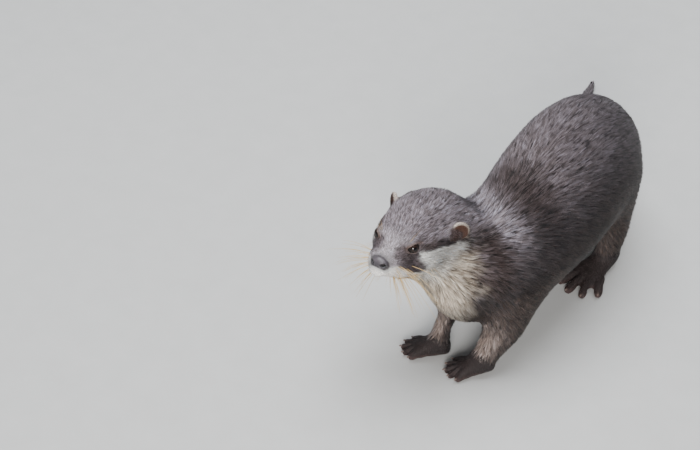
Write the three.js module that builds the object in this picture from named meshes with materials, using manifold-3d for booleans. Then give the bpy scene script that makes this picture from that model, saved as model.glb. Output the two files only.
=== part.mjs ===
// An Asian small-clawed otter, life size, standing and turned a little to its right.
// Millimetres, +Z up. The otter faces -Y and its left side is +X.
//
// The animal is one smooth form, a blend of swept and rounded fields whose zero surface is the
// outline of the coat. Each named part is that form, or a field of its own, traced on a grid,
// thinned to the triangles that its shape needs, and parted from its neighbours by thin cuts.
import * as THREE from 'three';
import { mergeVertices } from 'three/addons/utils/BufferGeometryUtils.js';
import Module from 'manifold-3d';

const wasm = await Module();
wasm.setup();

const V = (x, y, z) => new THREE.Vector3(x, y, z);
const rad = THREE.MathUtils.degToRad;

// ---------------------------------------------------------------- driving dimensions (mm)
const GAP = 0.3;                // clearance between touching pieces

// How widely two forms melt into each other where they meet.
const MELT = { face: 6, neck: 20, head: 16, tail: 12, limb: 16, wrist: 6, palm: 4, toes: 2.5 };

// Trunk, from the chest to the root of the tail. wide is half the width; rise and drop are the
// reach above and below the line that joins the stations.
const TRUNK = [
  { at: [3, -85, 74], wide: 29, rise: 30, drop: 27 },       // chest front
  { at: [6, -60, 80], wide: 44, rise: 43, drop: 38 },       // shoulders
  { at: [8, -28, 85], wide: 50, rise: 47, drop: 43 },       // behind the elbows
  { at: [6, 10, 92], wide: 55, rise: 56, drop: 49 },        // ribs
  { at: [1, 48, 97], wide: 57, rise: 62, drop: 52 },        // belly, arched back
  { at: [-6, 84, 96], wide: 57, rise: 62, drop: 53 },       // loin
  { at: [-16, 118, 89], wide: 52, rise: 57, drop: 48 },     // rump
  { at: [-28, 144, 77], wide: 42, rise: 47, drop: 40 },
  { at: [-40, 163, 63], wide: 30, rise: 34, drop: 32 },     // root of the tail
];
const TAIL = [
  { at: [-36, 156, 66], wide: 30, rise: 33, drop: 31 },
  { at: [-52, 182, 47], wide: 25, rise: 25, drop: 25 },
  { at: [-72, 208, 30], wide: 20.5, rise: 18, drop: 19 },
  { at: [-92, 236, 18], wide: 16.5, rise: 13.5, drop: 14 },
  { at: [-110, 266, 10.5], wide: 11.5, rise: 9, drop: 10.5 },
  { at: [-125, 297, 6.5], wide: 7, rise: 5.6, drop: 6.5 },
  { at: [-137, 326, 3.6], wide: 3.2, rise: 2.8, drop: 3.6 },
];

const NECK = [
  { at: [-33, -70, 115], wide: 34, rise: 21, drop: 32 },    // behind the ears
  { at: [-20, -58, 102], wide: 37, rise: 25, drop: 34 },
  { at: [-10, -46, 95], wide: 41, rise: 34, drop: 37 },
  { at: [5, -32, 88], wide: 45, rise: 41, drop: 40 },       // between the shoulders
];

// Head. Its own frame has the origin midway between the ears, -Y to the nose and +Z to the crown.
const HEAD = { at: [-36.4, -88, 134], yaw: 5, pitch: -7, roll: -0.5 };
const SKULL = [
  { at: [0, -67, -16], wide: 8, rise: 6, drop: 7 },
  { at: [0, -60, -15], wide: 12.5, rise: 9, drop: 10 },     // muzzle
  { at: [0, -52, -13], wide: 16, rise: 11, drop: 13 },
  { at: [0, -42, -9], wide: 19.5, rise: 13, drop: 18 },     // eyes
  { at: [0, -24, -6], wide: 27, rise: 17, drop: 24 },       // cheeks
  { at: [0, -2, -5], wide: 32.5, rise: 19, drop: 28 },      // ears
  { at: [0, 20, -9], wide: 33, rise: 20, drop: 30 },        // nape
];
const JAW = [
  { at: [0, -51, -24], wide: 8.5, rise: 6, drop: 6 },       // chin
  { at: [0, -40, -27], wide: 15, rise: 10, drop: 10 },
  { at: [2, -22, -32], wide: 22, rise: 14, drop: 15 },      // corner of the jaw
  { at: [7, -4, -39], wide: 27, rise: 20, drop: 20 },       // throat
  { at: [18, 10, -47], wide: 26, rise: 24, drop: 22 },
];
const EYE = { at: [15.2, -43.4, -1.6], radius: 5.4 };
const EAR = { at: [32.2, 0, -1], half: 8.2, high: 8.8, thick: 3.3, turn: 44, lean: 10 };
const NOSE = { at: [0, -66.5, -11.5], wide: 8, deep: 4.6, high: 5.4 };

// Limbs. A foot has its origin under the wrist or ankle, on the floor, with the toes to -Y.
const LIMBS = [
  {
    name: 'fore', side: 'left', foot: { at: [29, -92, 0], yaw: -46 }, paw: 'fore',
    leg: [
      { at: [28, -52, 84], wide: 23, rise: 28, drop: 30 },
      { at: [36, -65, 54], wide: 19.5, rise: 23, drop: 23 },
      { at: [35, -76, 34], wide: 15, rise: 15, drop: 15 },
      { at: [30, -90, 16], wide: 10, rise: 9.5, drop: 9.5 },
    ],
  },
  {
    name: 'fore', side: 'right', foot: { at: [-13, -99, 0], yaw: -58 }, paw: 'fore',
    leg: [
      { at: [-19, -54, 84], wide: 20, rise: 28, drop: 28 },
      { at: [-16, -74, 54], wide: 12, rise: 16, drop: 16 },
      { at: [-11, -88, 34], wide: 8, rise: 9.5, drop: 9.5 },
      { at: [-12, -97, 16], wide: 7.5, rise: 8.5, drop: 8.5 },
    ],
  },
  {
    name: 'hind', side: 'left', foot: { at: [34, 92, 0], yaw: -5 }, paw: 'hind',
    leg: [
      { at: [18, 110, 82], wide: 22, rise: 28, drop: 32 },
      { at: [27, 103, 56], wide: 19, rise: 24, drop: 27 },
      { at: [33, 97, 34], wide: 14, rise: 17, drop: 17 },
      { at: [34, 92, 17], wide: 10.5, rise: 11, drop: 11 },
    ],
  },
  {
    name: 'hind', side: 'right', foot: { at: [-50, 68, 0], yaw: -14 }, paw: 'hind',
    leg: [
      { at: [-36, 100, 82], wide: 24, rise: 34, drop: 34 },
      { at: [-45, 88, 56], wide: 20, rise: 27, drop: 27 },
      { at: [-49, 76, 34], wide: 14, rise: 17, drop: 17 },
      { at: [-50, 69, 17], wide: 10.5, rise: 11, drop: 11 },
    ],
  },
];
const TOE_SHARES = [-1, -0.48, 0, 0.48, 1];          // of the spread, in degrees, of a foot
const PAWS = {
  fore: { palm: 15.5, width: 10.5, toes: [9, 12.5, 14, 12.5, 9.5], spread: 33, thick: 3, tip: 3.2 },
  hind: { palm: 32, width: 14, toes: [15, 22, 25, 23, 17], spread: 34, thick: 3.9, tip: 4.1 },
};
const CLAW = { long: 3.6, radius: 1.1, taper: 0.7, dip: 0.25, sides: 5 };

// How finely each form is traced, how many triangles it keeps, and the box that holds it.
const TRACE = {
  head: { step: 2.2, faces: 1900, low: [-46, -76, -44], high: [46, 32, 30] },
  nose: { step: 1.2, faces: 150, margin: 4 },
  ear: { step: 1.2, faces: 170, margin: 5 },
  neck: { step: 4.5, faces: 550, low: [-90, -135, 50], high: [60, -25, 165] },
  trunk: { step: 6, faces: 1600, low: [-85, -135, 20], high: [75, 205, 175] },
  tail: { step: 4, faces: 450, low: [-155, 125, -4], high: [5, 340, 110] },
  leg: { step: 4, faces: 420, margin: 44, low: 8 },
  foot: { step: 1.5, faces: 620, margin: 8, heel: 24, high: 34 },
};

// ---------------------------------------------------------------- fields
// A field gives a point's rough distance outside a form, in mm, and is negative inside it.
const FAR = 30;                 // past this distance from a form's box a field is not worked out

const melt = (a, b, soft) => {
  const overlap = Math.max(soft - Math.abs(a - b), 0) / soft;
  return Math.min(a, b) - overlap * overlap * (soft / 4);
};
const hollow = (a, b, soft) => -melt(-a, b, soft);

// A form swept along a smooth line through its stations, with an oval section at each.
function sweep(stations, top = V(0, 0, 1), steps = 6) {
  const line = new THREE.CatmullRomCurve3(stations.map((s) => V(...s.at)), false, 'centripetal');
  const girth = new THREE.CatmullRomCurve3(stations.map((s) => V(s.wide, s.rise, s.drop)));
  const last = (stations.length - 1) * steps;
  const box = new THREE.Box3();
  const rings = [];
  for (let i = 0; i <= last; i += 1) {
    const at = line.getPoint(i / last);
    const along = line.getTangent(i / last);
    const side = along.clone().cross(top).normalize();
    const size = girth.getPoint(i / last);
    const up = side.clone().cross(along);
    rings.push([...at, ...side, ...up, ...size]);
    const most = Math.max(...size);
    box.expandByPoint(at.clone().subScalar(most)).expandByPoint(at.clone().addScalar(most));
  }
  return (p) => {
    const away = box.distanceToPoint(p);
    if (away > FAR) return away;
    const { x, y, z } = p;
    let least = Infinity;
    let near = 0;
    let share = 0;
    for (let i = 0; i < last; i += 1) {
      const a = rings[i];
      const b = rings[i + 1];
      const [dx, dy, dz] = [b[0] - a[0], b[1] - a[1], b[2] - a[2]];
      const [px, py, pz] = [x - a[0], y - a[1], z - a[2]];
      let t = (px * dx + py * dy + pz * dz) / (dx * dx + dy * dy + dz * dz);
      t = t < 0 ? 0 : Math.min(t, 1);
      const d = (px - t * dx) ** 2 + (py - t * dy) ** 2 + (pz - t * dz) ** 2;
      if (d < least) [least, near, share] = [d, i, t];
    }
    const a = rings[near];
    const b = rings[near + 1];
    const at = (n) => a[n] + (b[n] - a[n]) * share;
    const [px, py, pz] = [x - at(0), y - at(1), z - at(2)];
    const across = px * at(3) + py * at(4) + pz * at(5);
    const high = px * at(6) + py * at(7) + pz * at(8);
    const past = Math.sqrt(Math.max(least - across * across - high * high, 0));
    const wide = at(9);
    const tall = high > 0 ? at(10) : at(11);
    const level = Math.hypot(across / wide, high / tall, past / Math.min(wide, tall));
    return level < 1e-6 ? -Math.min(wide, tall) : Math.sqrt(least) * (1 - 1 / level);
  };
}

// An ellipsoid, turned by a rotation if one is given.
function oval(at, radii, turn = new THREE.Euler()) {
  const back = new THREE.Matrix4().makeRotationFromEuler(turn).setPosition(...at).invert();
  const q = V();
  return (p) => {
    q.copy(p).applyMatrix4(back);
    const level = Math.hypot(q.x / radii[0], q.y / radii[1], q.z / radii[2]);
    return level < 1e-6 ? -Math.min(...radii) : q.length() * (1 - 1 / level);
  };
}

// A field moved into a frame given by a matrix.
function placed(field, matrix) {
  const back = matrix.clone().invert();
  const q = V();
  return (p) => field(q.copy(p).applyMatrix4(back));
}

// Several fields melted together.
const melted = (soft, ...fields) => (p) => fields.reduce((d, f) => melt(d, f(p), soft), 1e3);

// ---------------------------------------------------------------- tracing a field's surface
const CORNERS = [0, 1, 2, 3, 4, 5, 6, 7].map((c) => [c & 1, (c >> 1) & 1, (c >> 2) & 1]);
const TETRAHEDRA = [[1, 3], [1, 5], [2, 3], [2, 6], [4, 5], [4, 6]].map(([a, b]) => [0, a, b, 7]);

// Marching tetrahedra: the zero surface of a field in a box, as shared points and triangles. No
// grid point is left on the surface, and the rim of the box stays outside it.
const NEAR_ZERO = 0.02;         // in steps of the grid
const RIM_LEVEL = 0.2;
function trace(field, box, step) {
  const count = ['x', 'y', 'z'].map((k) => Math.ceil((box.max[k] - box.min[k]) / step) + 1);
  const [nx, ny, nz] = count;
  const index = (i, j, k) => (k * ny + j) * nx + i;
  const value = new Float64Array(nx * ny * nz);
  const p = V();
  for (let k = 0; k < nz; k += 1) {
    for (let j = 0; j < ny; j += 1) {
      for (let i = 0; i < nx; i += 1) {
        p.set(box.min.x + i * step, box.min.y + j * step, box.min.z + k * step);
        const rim = [i, j, k].some((n, axis) => n === 0 || n === count[axis] - 1);
        const d = field(p);
        const level = rim ? Math.max(d, step * RIM_LEVEL) : d;
        value[index(i, j, k)] = Math.abs(level) < step * NEAR_ZERO ? step * NEAR_ZERO : level;
      }
    }
  }
  const points = [];
  const faces = [];
  const made = new Map();
  const crossing = (cell, a, b) => {
    if (a > b) [a, b] = [b, a];
    const [ca, cb] = [CORNERS[a], CORNERS[b]];
    const ia = index(cell[0] + ca[0], cell[1] + ca[1], cell[2] + ca[2]);
    const ib = index(cell[0] + cb[0], cell[1] + cb[1], cell[2] + cb[2]);
    const key = ia * 8 + (a ^ b);
    if (!made.has(key)) {
      const t = value[ia] / (value[ia] - value[ib]);
      made.set(key, points.length / 3);
      points.push(...[0, 1, 2].map((n) => {
        const low = box.min.getComponent(n);
        return low + (cell[n] + ca[n] + (cb[n] - ca[n]) * t) * step;
      }));
    }
    return made.get(key);
  };
  for (let k = 0; k < nz - 1; k += 1) {
    for (let j = 0; j < ny - 1; j += 1) {
      for (let i = 0; i < nx - 1; i += 1) {
        const cell = [i, j, k];
        const inside = CORNERS.map((c) => value[index(i + c[0], j + c[1], k + c[2])] < 0);
        if (inside.every((s) => s === inside[0])) continue;
        for (const tet of TETRAHEDRA) {
          const low = tet.filter((c) => inside[c]);
          const high = tet.filter((c) => !inside[c]);
          if (low.length === 0 || high.length === 0) continue;
          let ring;
          if (low.length === 1) ring = high.map((c) => crossing(cell, low[0], c));
          else if (high.length === 1) ring = low.map((c) => crossing(cell, c, high[0]));
          else {
            ring = [[0, 0], [0, 1], [1, 1], [1, 0]].map(([a, b]) => crossing(cell, low[a], high[b]));
          }
          const out = [0, 1, 2].map((n) => high.reduce((s, c) => s + CORNERS[c][n], 0) / high.length
            - low.reduce((s, c) => s + CORNERS[c][n], 0) / low.length);
          for (let n = 1; n + 1 < ring.length; n += 1) {
            faces.push(outward(points, [ring[0], ring[n], ring[n + 1]], out));
          }
        }
      }
    }
  }
  return { points, faces };
}

// A triangle ordered so that its normal points along out.
function outward(points, [a, b, c], out) {
  const at = (n) => V().fromArray(points, n * 3);
  const normal = at(b).sub(at(a)).cross(at(c).sub(at(a)));
  return normal.dot(V(...out)) < 0 ? [a, c, b] : [a, b, c];
}

// Points spread evenly and brought back onto the zero surface, for a few rounds.
function relaxed({ points, faces }, field, reach, rounds = 2) {
  const at = [];
  for (let i = 0; i < points.length; i += 3) at.push(V().fromArray(points, i));
  const around = at.map(() => new Set());
  for (const [a, b, c] of faces) {
    around[a].add(b).add(c);
    around[b].add(a).add(c);
    around[c].add(a).add(b);
  }
  const nudge = reach * 0.05;
  const slope = V();
  const probe = V();
  for (let round = 0; round < rounds; round += 1) {
    const middle = around.map((near, i) => {
      const sum = V();
      for (const n of near) sum.add(at[n]);
      return sum.divideScalar(near.size).lerp(at[i], 0.4);
    });
    at.forEach((p, i) => {
      const d = field(middle[i]);
      p.copy(middle[i]);
      if (Math.abs(d) > reach) return;
      for (const [axis, key] of ['x', 'y', 'z'].entries()) {
        probe.copy(middle[i])[key] += nudge;
        slope.setComponent(axis, (field(probe) - d) / nudge);
      }
      p.addScaledVector(slope, -d / Math.max(slope.lengthSq(), 0.2));
    });
  }
  return { points: at.flatMap((p) => p.toArray()), faces };
}

// ---------------------------------------------------------------- thinning a surface
// Edge collapse by quadric error (Garland and Heckbert) until target faces are left. An edge goes
// only where the surface stays closed and no face turns over.
function thinned({ points, faces }, target) {
  const at = [];
  for (let i = 0; i < points.length; i += 3) at.push(V().fromArray(points, i));
  const quadrics = at.map(() => new Float64Array(10));
  const ring = at.map(() => new Set());
  const stamp = new Int32Array(at.length);
  const alive = faces.map(() => true);
  const normal = ([a, b, c]) => at[b].clone().sub(at[a]).cross(at[c].clone().sub(at[a]));
  faces.forEach((face, f) => {
    const n = normal(face);
    const area = n.length() / 2;
    if (area > 0) n.normalize();
    const d = -n.dot(at[face[0]]);
    const q = [n.x, n.y, n.z, d];
    let m = 0;
    for (let i = 0; i < 4; i += 1) {
      for (let j = i; j < 4; j += 1) {
        for (const v of face) quadrics[v][m] += q[i] * q[j] * area;
        m += 1;
      }
    }
    for (const v of face) ring[v].add(f);
  });
  const error = (q, p) => q[0] * p.x * p.x + q[4] * p.y * p.y + q[7] * p.z * p.z
    + 2 * (q[1] * p.x * p.y + q[2] * p.x * p.z + q[5] * p.y * p.z)
    + 2 * (q[3] * p.x + q[6] * p.y + q[8] * p.z) + q[9];
  const solve = new THREE.Matrix3();
  const best = (a, b) => {
    const q = quadrics[a].map((value, i) => value + quadrics[b][i]);
    const middle = at[a].clone().add(at[b]).multiplyScalar(0.5);
    const span = at[a].distanceTo(at[b]);
    solve.set(q[0], q[1], q[2], q[1], q[4], q[5], q[2], q[5], q[7]);
    const choices = [middle, at[a].clone(), at[b].clone()];
    if (Math.abs(solve.determinant()) > 1e-6 * (q[0] + q[4] + q[7]) ** 3) {
      const p = V(-q[3], -q[6], -q[8]).applyMatrix3(solve.clone().invert());
      if (p.distanceTo(middle) < span) choices.unshift(p);
    }
    const costs = choices.map((p) => error(q, p));
    const pick = costs.indexOf(Math.min(...costs));
    return { p: choices[pick], cost: Math.max(costs[pick], 0) + 2e-4 * span ** 4 };
  };
  const heap = [];
  const push = (item) => {
    let i = heap.push(item) - 1;
    while (i > 0 && heap[(i - 1) >> 1].cost > heap[i].cost) {
      const up = (i - 1) >> 1;
      [heap[i], heap[up]] = [heap[up], heap[i]];
      i = up;
    }
  };
  const pop = () => {
    const top = heap[0];
    const last = heap.pop();
    if (heap.length > 0) {
      heap[0] = last;
      for (let i = 0; ;) {
        let low = i;
        for (const c of [2 * i + 1, 2 * i + 2]) {
          if (c < heap.length && heap[c].cost < heap[low].cost) low = c;
        }
        if (low === i) break;
        [heap[i], heap[low]] = [heap[low], heap[i]];
        i = low;
      }
    }
    return top;
  };
  const offer = (a, b) => push({ a, b, stamps: stamp[a] + stamp[b], ...best(a, b) });
  const neighbours = (v) => {
    const found = new Set();
    for (const f of ring[v]) for (const w of faces[f]) if (w !== v) found.add(w);
    return found;
  };
  const flips = (v, other, p) => {
    for (const f of ring[v]) {
      if (faces[f].includes(other)) continue;
      const before = normal(faces[f]);
      const [x, y, z] = faces[f].map((w) => (w === v ? p : at[w]));
      const after = y.clone().sub(x).cross(z.clone().sub(x));
      if (after.dot(before) < 0.2 * after.length() * before.length()) return true;
      const longest = Math.max(x.distanceTo(y), y.distanceTo(z), z.distanceTo(x));
      if (after.length() < 0.08 * longest * longest) return true;
    }
    return false;
  };
  let left = faces.length;
  const collapse = ({ a, b, p }) => {
    at[a].copy(p);
    quadrics[a] = quadrics[a].map((value, i) => value + quadrics[b][i]);
    for (const f of ring[b]) {
      if (faces[f].includes(a)) {
        alive[f] = false;
        left -= 1;
        for (const v of faces[f]) ring[v].delete(f);
      } else {
        faces[f] = faces[f].map((v) => (v === b ? a : v));
        ring[a].add(f);
      }
    }
    stamp[b] = -1;
    stamp[a] += 1;
    for (const v of neighbours(a)) offer(a, v);
  };
  for (let before = Infinity; left > target && left < before;) {
    before = left;
    heap.length = 0;
    faces.forEach((face, f) => {
      if (!alive[f]) return;
      face.forEach((a, i) => {
        if (a < face[(i + 1) % 3]) offer(a, face[(i + 1) % 3]);
      });
    });
    while (left > target && heap.length > 0) {
      const edge = pop();
      const { a, b, p } = edge;
      if (stamp[a] < 0 || stamp[b] < 0 || edge.stamps !== stamp[a] + stamp[b]) continue;
      const around = neighbours(a);
      if (!around.has(b)) continue;
      const shared = [...neighbours(b)].filter((v) => around.has(v));
      if (shared.length === 2 && !flips(a, b, p) && !flips(b, a, p)) collapse(edge);
    }
  }
  const name = new Map();
  const kept = [];
  const use = (v) => {
    if (!name.has(v)) {
      name.set(v, kept.length / 3);
      kept.push(...at[v].toArray());
    }
    return name.get(v);
  };
  return { faces: faces.filter((_, f) => alive[f]).map((face) => face.map(use)), points: kept };
}

// ---------------------------------------------------------------- solids
const solid = ({ points, faces }) => new wasm.Manifold(new wasm.Mesh({
  numProp: 3, vertProperties: Float32Array.from(points), triVerts: Uint32Array.from(faces.flat()),
}));

// A three.js geometry as points shared between its faces.
function welded(geometry) {
  geometry.deleteAttribute('normal');
  geometry.deleteAttribute('uv');
  const { attributes, index } = mergeVertices(geometry, 1e-4);
  const faces = [];
  for (let i = 0; i < index.count; i += 3) faces.push([0, 1, 2].map((n) => index.getX(i + n)));
  return {
    points: Array.from(attributes.position.array),
    faces: faces.filter(([a, b, c]) => a !== b && b !== c && c !== a),
  };
}

// The same surface pushed out along its normals, which makes the pocket for a piece.
function swollen({ points, faces }, by = GAP) {
  const normals = points.map(() => 0);
  for (const face of faces) {
    const [a, b, c] = face.map((v) => V().fromArray(points, v * 3));
    const n = b.clone().sub(a).cross(c.sub(a));
    for (const v of face) n.toArray().forEach((value, i) => { normals[v * 3 + i] += value; });
  }
  const out = [];
  for (let i = 0; i < points.length; i += 3) {
    const n = V().fromArray(normals, i).normalize();
    out.push(...V().fromArray(points, i).addScaledVector(n, by).toArray());
  }
  return { points: out, faces };
}

const plane = (at, normal) => ({ at: V(...at), normal: V(...normal).normalize() });
const behind = ({ at, normal }) => ({ at, normal: normal.clone().negate() });

// A solid kept in front of a plane, with half the gap left free.
const cutBack = (body, { at, normal }, free = GAP / 2) => (
  body.trimByPlane(normal.toArray(), normal.dot(at) + free)
);

// The same plane seen from inside a turned frame.
function seenFrom(matrix, { at, normal }) {
  const back = matrix.clone().invert();
  return { at: at.clone().applyMatrix4(back), normal: normal.clone().transformDirection(back) };
}

// The space in front of several planes at once, grown by half the gap: what a limb takes out.
function wedge(planes) {
  const block = solid(welded(new THREE.BoxGeometry(2000, 2000, 2000)));
  return planes.reduce((body, side) => cutBack(body, side, -GAP / 2), block);
}

const boxOf = ({ low, high }) => new THREE.Box3(V(...low), V(...high));
const boxRound = (at, radii, margin) => (
  new THREE.Box3().setFromCenterAndSize(V(...at), V(...radii).addScalar(margin).multiplyScalar(2))
);

// A field's surface in a box, evened out and thinned to about its number of faces.
function form(field, { step, faces }, box) {
  return thinned(relaxed(trace(field, box, step), field, step), faces);
}

function mesh(name, body, material) {
  const { numProp, vertProperties, triVerts } = body.getMesh();
  const geometry = new THREE.BufferGeometry();
  const points = [];
  for (let i = 0; i < vertProperties.length; i += numProp) {
    points.push(vertProperties[i], vertProperties[i + 1], vertProperties[i + 2]);
  }
  geometry.setAttribute('position', new THREE.Float32BufferAttribute(points, 3));
  geometry.setIndex(Array.from(triVerts));
  geometry.computeVertexNormals();
  const made = new THREE.Mesh(geometry, material);
  made.name = name;
  return made;
}

const finish = (color, roughness) => new THREE.MeshStandardMaterial({ color, roughness, metalness: 0 });
const COLOUR = {
  coat: finish(0x5f5553, 0.85),
  pale: finish(0x9c958c, 0.85),
  foot: finish(0x463a38, 0.7),
  ear: finish(0xb9aa98, 0.8),
  nose: finish(0x4a4850, 0.45),
  eye: finish(0x0d0b0b, 0.08),
  claw: finish(0x5b4b45, 0.5),
};

// ---------------------------------------------------------------- the animal's fields
const turned = ({ at, yaw = 0, pitch = 0, roll = 0 }) => (
  new THREE.Matrix4()
    .makeRotationFromEuler(new THREE.Euler(rad(pitch), rad(roll), rad(yaw), 'ZXY'))
    .setPosition(...at)
);
const pair = [['left', 1], ['right', -1]];

function headField() {
  const sides = pair.flatMap(([, s]) => [
    oval([s * 6.4, -57, -17.2], [7, 8.8, 6.8]),        // whisker pad
    oval([s * 11.5, -44, -21], [9, 15, 9]),            // lip
    oval([s * 18, -20, -16], [13.5, 23, 17]),          // cheek
    oval([s * 12.8, -38, -0.5], [6.2, 9, 5]),          // brow
  ]);
  return melted(MELT.face, sweep(SKULL), sweep(JAW), ...sides);
}

// A foot: a palm that rests on the floor, five toes spread like a fan, and a web between them.
function pawField(paw) {
  const { palm, width, toes, spread, thick, tip } = paw;
  const angles = TOE_SHARES.map((share) => share * spread);
  const heel = sweep([
    { at: [0, 6, 13], wide: width * 0.62, rise: 7.5, drop: 12 },
    { at: [0, -palm * 0.35, 9], wide: width * 0.8, rise: 7.5, drop: 11 },
    { at: [0, -palm * 0.8, 6.5], wide: width, rise: 5, drop: 8 },
  ]);
  const hub = V(0, -palm * 0.15, 0);
  const start = palm * 0.72;
  const spot = (angle, far, high) => {
    const a = rad(angle);
    return [hub.x + Math.sin(a) * far, hub.y - Math.cos(a) * far, high];
  };
  const digits = toes.map((long, i) => {
    const a = angles[i];
    return sweep([
      { at: spot(a, start, 6.5), wide: thick * 1.15, rise: thick, drop: 7 },
      { at: spot(a, start + long * 0.5, 6.8), wide: thick * 0.92, rise: thick * 0.85, drop: 6 },
      { at: spot(a, start + long * 0.8, 4.6), wide: tip, rise: tip * 0.8, drop: 5.5 },
      { at: spot(a, start + long, 3.8), wide: tip * 0.85, rise: tip * 0.7, drop: 4.6 },
    ], V(0, 0, 1), 5);
  });
  const webs = toes.slice(1).map((long, i) => {
    const a = (angles[i] + angles[i + 1]) / 2;
    const far = start + Math.min(long, toes[i]) * 0.25;
    return oval(spot(a, far, 4.6), [thick * 1.3, Math.min(long, toes[i]) * 0.42, 1.7],
      new THREE.Euler(0, 0, rad(a)));
  });
  const fan = melted(MELT.toes, ...digits, ...webs);
  return { field: (p) => melt(heel(p), fan(p), MELT.palm), spot, start, angles };
}

const headFrame = turned(HEAD);
const head = placed(headField(), headFrame);
const trunk = melted(MELT.neck, sweep(TRUNK), sweep(NECK));
const tail = sweep(TAIL);
const body = (p) => melt(melt(trunk(p), head(p), MELT.head), tail(p), MELT.tail);
for (const limb of LIMBS) {
  limb.frame = turned(limb.foot);
  Object.assign(limb, pawField(PAWS[limb.paw]));
  const leg = sweep(limb.leg, V(0, 1, 0));
  const foot = placed(limb.field, limb.frame);
  limb.whole = (p) => melt(leg(p), foot(p), MELT.wrist);
}
const flesh = (p) => {
  const d = body(p);
  return LIMBS.reduce((least, limb) => Math.min(least, melt(d, limb.whole(p), MELT.limb)), d);
};

// ---------------------------------------------------------------- where the parts divide
const atHead = (point) => V(...point).applyMatrix4(headFrame);
const fromHead = (way) => V(...way).transformDirection(headFrame);
const NAPE = { at: atHead([0, 26, -4]), normal: fromHead([0, -1, 0.1]) };
const THROAT = { at: atHead([0, 0, -36]), normal: fromHead([0, -0.1, 1]) };
const JOWL = { at: atHead([38, 0, -8]), normal: fromHead([-1, 0, 0.3]) };
const HEAD_END = [NAPE, THROAT, JOWL];
const WITHERS = plane([-2, -76, 100], [-0.5, -0.55, 0.67]);
const RUMP = plane(TRUNK.at(-1).at, [-0.62, 0.6, -0.5]);
const SHOULDERS = {
  left: [plane([50, -60, 84], [0.55, 0, -0.83]), plane([14, 0, 0], [1, 0, 0]),
    plane([0, -18, 0], [0, -1, 0])],
  right: [plane([-34, -60, 84], [-0.55, 0, -0.83]), plane([10, 0, 0], [-1, 0, 0]),
    plane([0, -26, 0], [0, -1, 0])],
};
const HIPS = {
  left: [plane([52, 110, 84], [0.55, 0, -0.83]), plane([14, 0, 0], [1, 0, 0]),
    plane([0, 62, 0], [0, 1, 0])],
  right: [plane([-60, 110, 84], [-0.55, 0, -0.83]), plane([-14, 0, 0], [-1, 0, 0]),
    plane([0, 46, 0], [0, 1, 0])],
};
for (const limb of LIMBS) {
  const [knee, end] = limb.leg.slice(-2).map(({ at }) => V(...at));
  limb.root = (limb.name === 'fore' ? SHOULDERS : HIPS)[limb.side];
  limb.wrist = { at: end.clone().add(V(0, 0, 3)), normal: end.clone().sub(knee).normalize() };
}

// ---------------------------------------------------------------- the parts
const otter = new THREE.Group();

function addNose(group, skull) {
  const radii = [NOSE.wide, NOSE.deep, NOSE.high];
  const box = boxRound(NOSE.at, radii, TRACE.nose.margin);
  const shape = form(oval(NOSE.at, radii), TRACE.nose, box);
  group.add(mesh('nose', solid(shape), COLOUR.nose));
  return skull.subtract(solid(swollen(shape)));
}

function addEye(group, skull, side, s) {
  const [x, y, z] = EYE.at;
  const shape = welded(new THREE.SphereGeometry(EYE.radius, 12, 8).translate(s * x, y, z));
  group.add(mesh(`eye_${side}`, solid(shape), COLOUR.eye));
  return skull.subtract(solid(swollen(shape)));
}

// An ear is a small upright shell with a shallow bowl in its front.
function addEar(group, skull, side, s) {
  const { half, high, thick, turn, lean } = EAR;
  const at = [s * EAR.at[0], EAR.at[1], EAR.at[2]];
  const frame = turned({ at, yaw: s * turn, roll: s * lean });
  const shell = oval([0, 0, 0], [half, thick, high]);
  const bowl = oval([0, -thick * 1.2, high * 0.15], [half * 0.7, thick, high * 0.7]);
  const cup = (p) => hollow(shell(p), bowl(p), thick / 2);
  const box = boxRound(at, [half, half, high], TRACE.ear.margin);
  const shape = form(placed(cup, frame), TRACE.ear, box);
  group.add(mesh(`ear_${side}`, solid(shape), COLOUR.ear));
  return skull.subtract(solid(swollen(shape)));
}

function addHead() {
  const group = new THREE.Group();
  headFrame.decompose(group.position, group.quaternion, group.scale);
  const inHead = (p) => flesh(p.clone().applyMatrix4(headFrame));
  const skull = solid(form(inHead, TRACE.head, boxOf(TRACE.head)));
  let rest = HEAD_END.reduce((part, side) => cutBack(part, seenFrom(headFrame, side)), skull);
  rest = addNose(group, rest);
  for (const [side, s] of pair) {
    rest = addEye(group, rest, side, s);
    rest = addEar(group, rest, side, s);
  }
  group.add(mesh('head', rest, COLOUR.coat));
  otter.add(group);
}

function addBody() {
  const neck = cutBack(solid(form(flesh, TRACE.neck, boxOf(TRACE.neck))), WITHERS);
  otter.add(mesh('neck', neck.subtract(wedge(HEAD_END)), COLOUR.coat));

  let middle = solid(form(flesh, TRACE.trunk, boxOf(TRACE.trunk)));
  middle = cutBack(cutBack(middle, behind(WITHERS)), behind(RUMP)).subtract(wedge(HEAD_END));
  for (const limb of LIMBS) middle = middle.subtract(wedge(limb.root));
  otter.add(mesh('trunk', middle, COLOUR.coat));

  const end = cutBack(solid(form(flesh, TRACE.tail, boxOf(TRACE.tail))), RUMP);
  otter.add(mesh('tail', end.trimByPlane([0, 0, 1], 0), COLOUR.coat));
}

function addLeg({ name, side, leg, root, wrist }) {
  const box = new THREE.Box3().setFromPoints(leg.map(({ at }) => V(...at)));
  box.expandByScalar(TRACE.leg.margin).min.z = TRACE.leg.low;
  const cuts = [...root, behind(wrist), behind(WITHERS), behind(RUMP)];
  const part = cuts.reduce((rest, cut) => cutBack(rest, cut), solid(form(flesh, TRACE.leg, box)));
  otter.add(mesh(`${name}leg_${side}`, part, COLOUR.coat));
}

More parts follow.
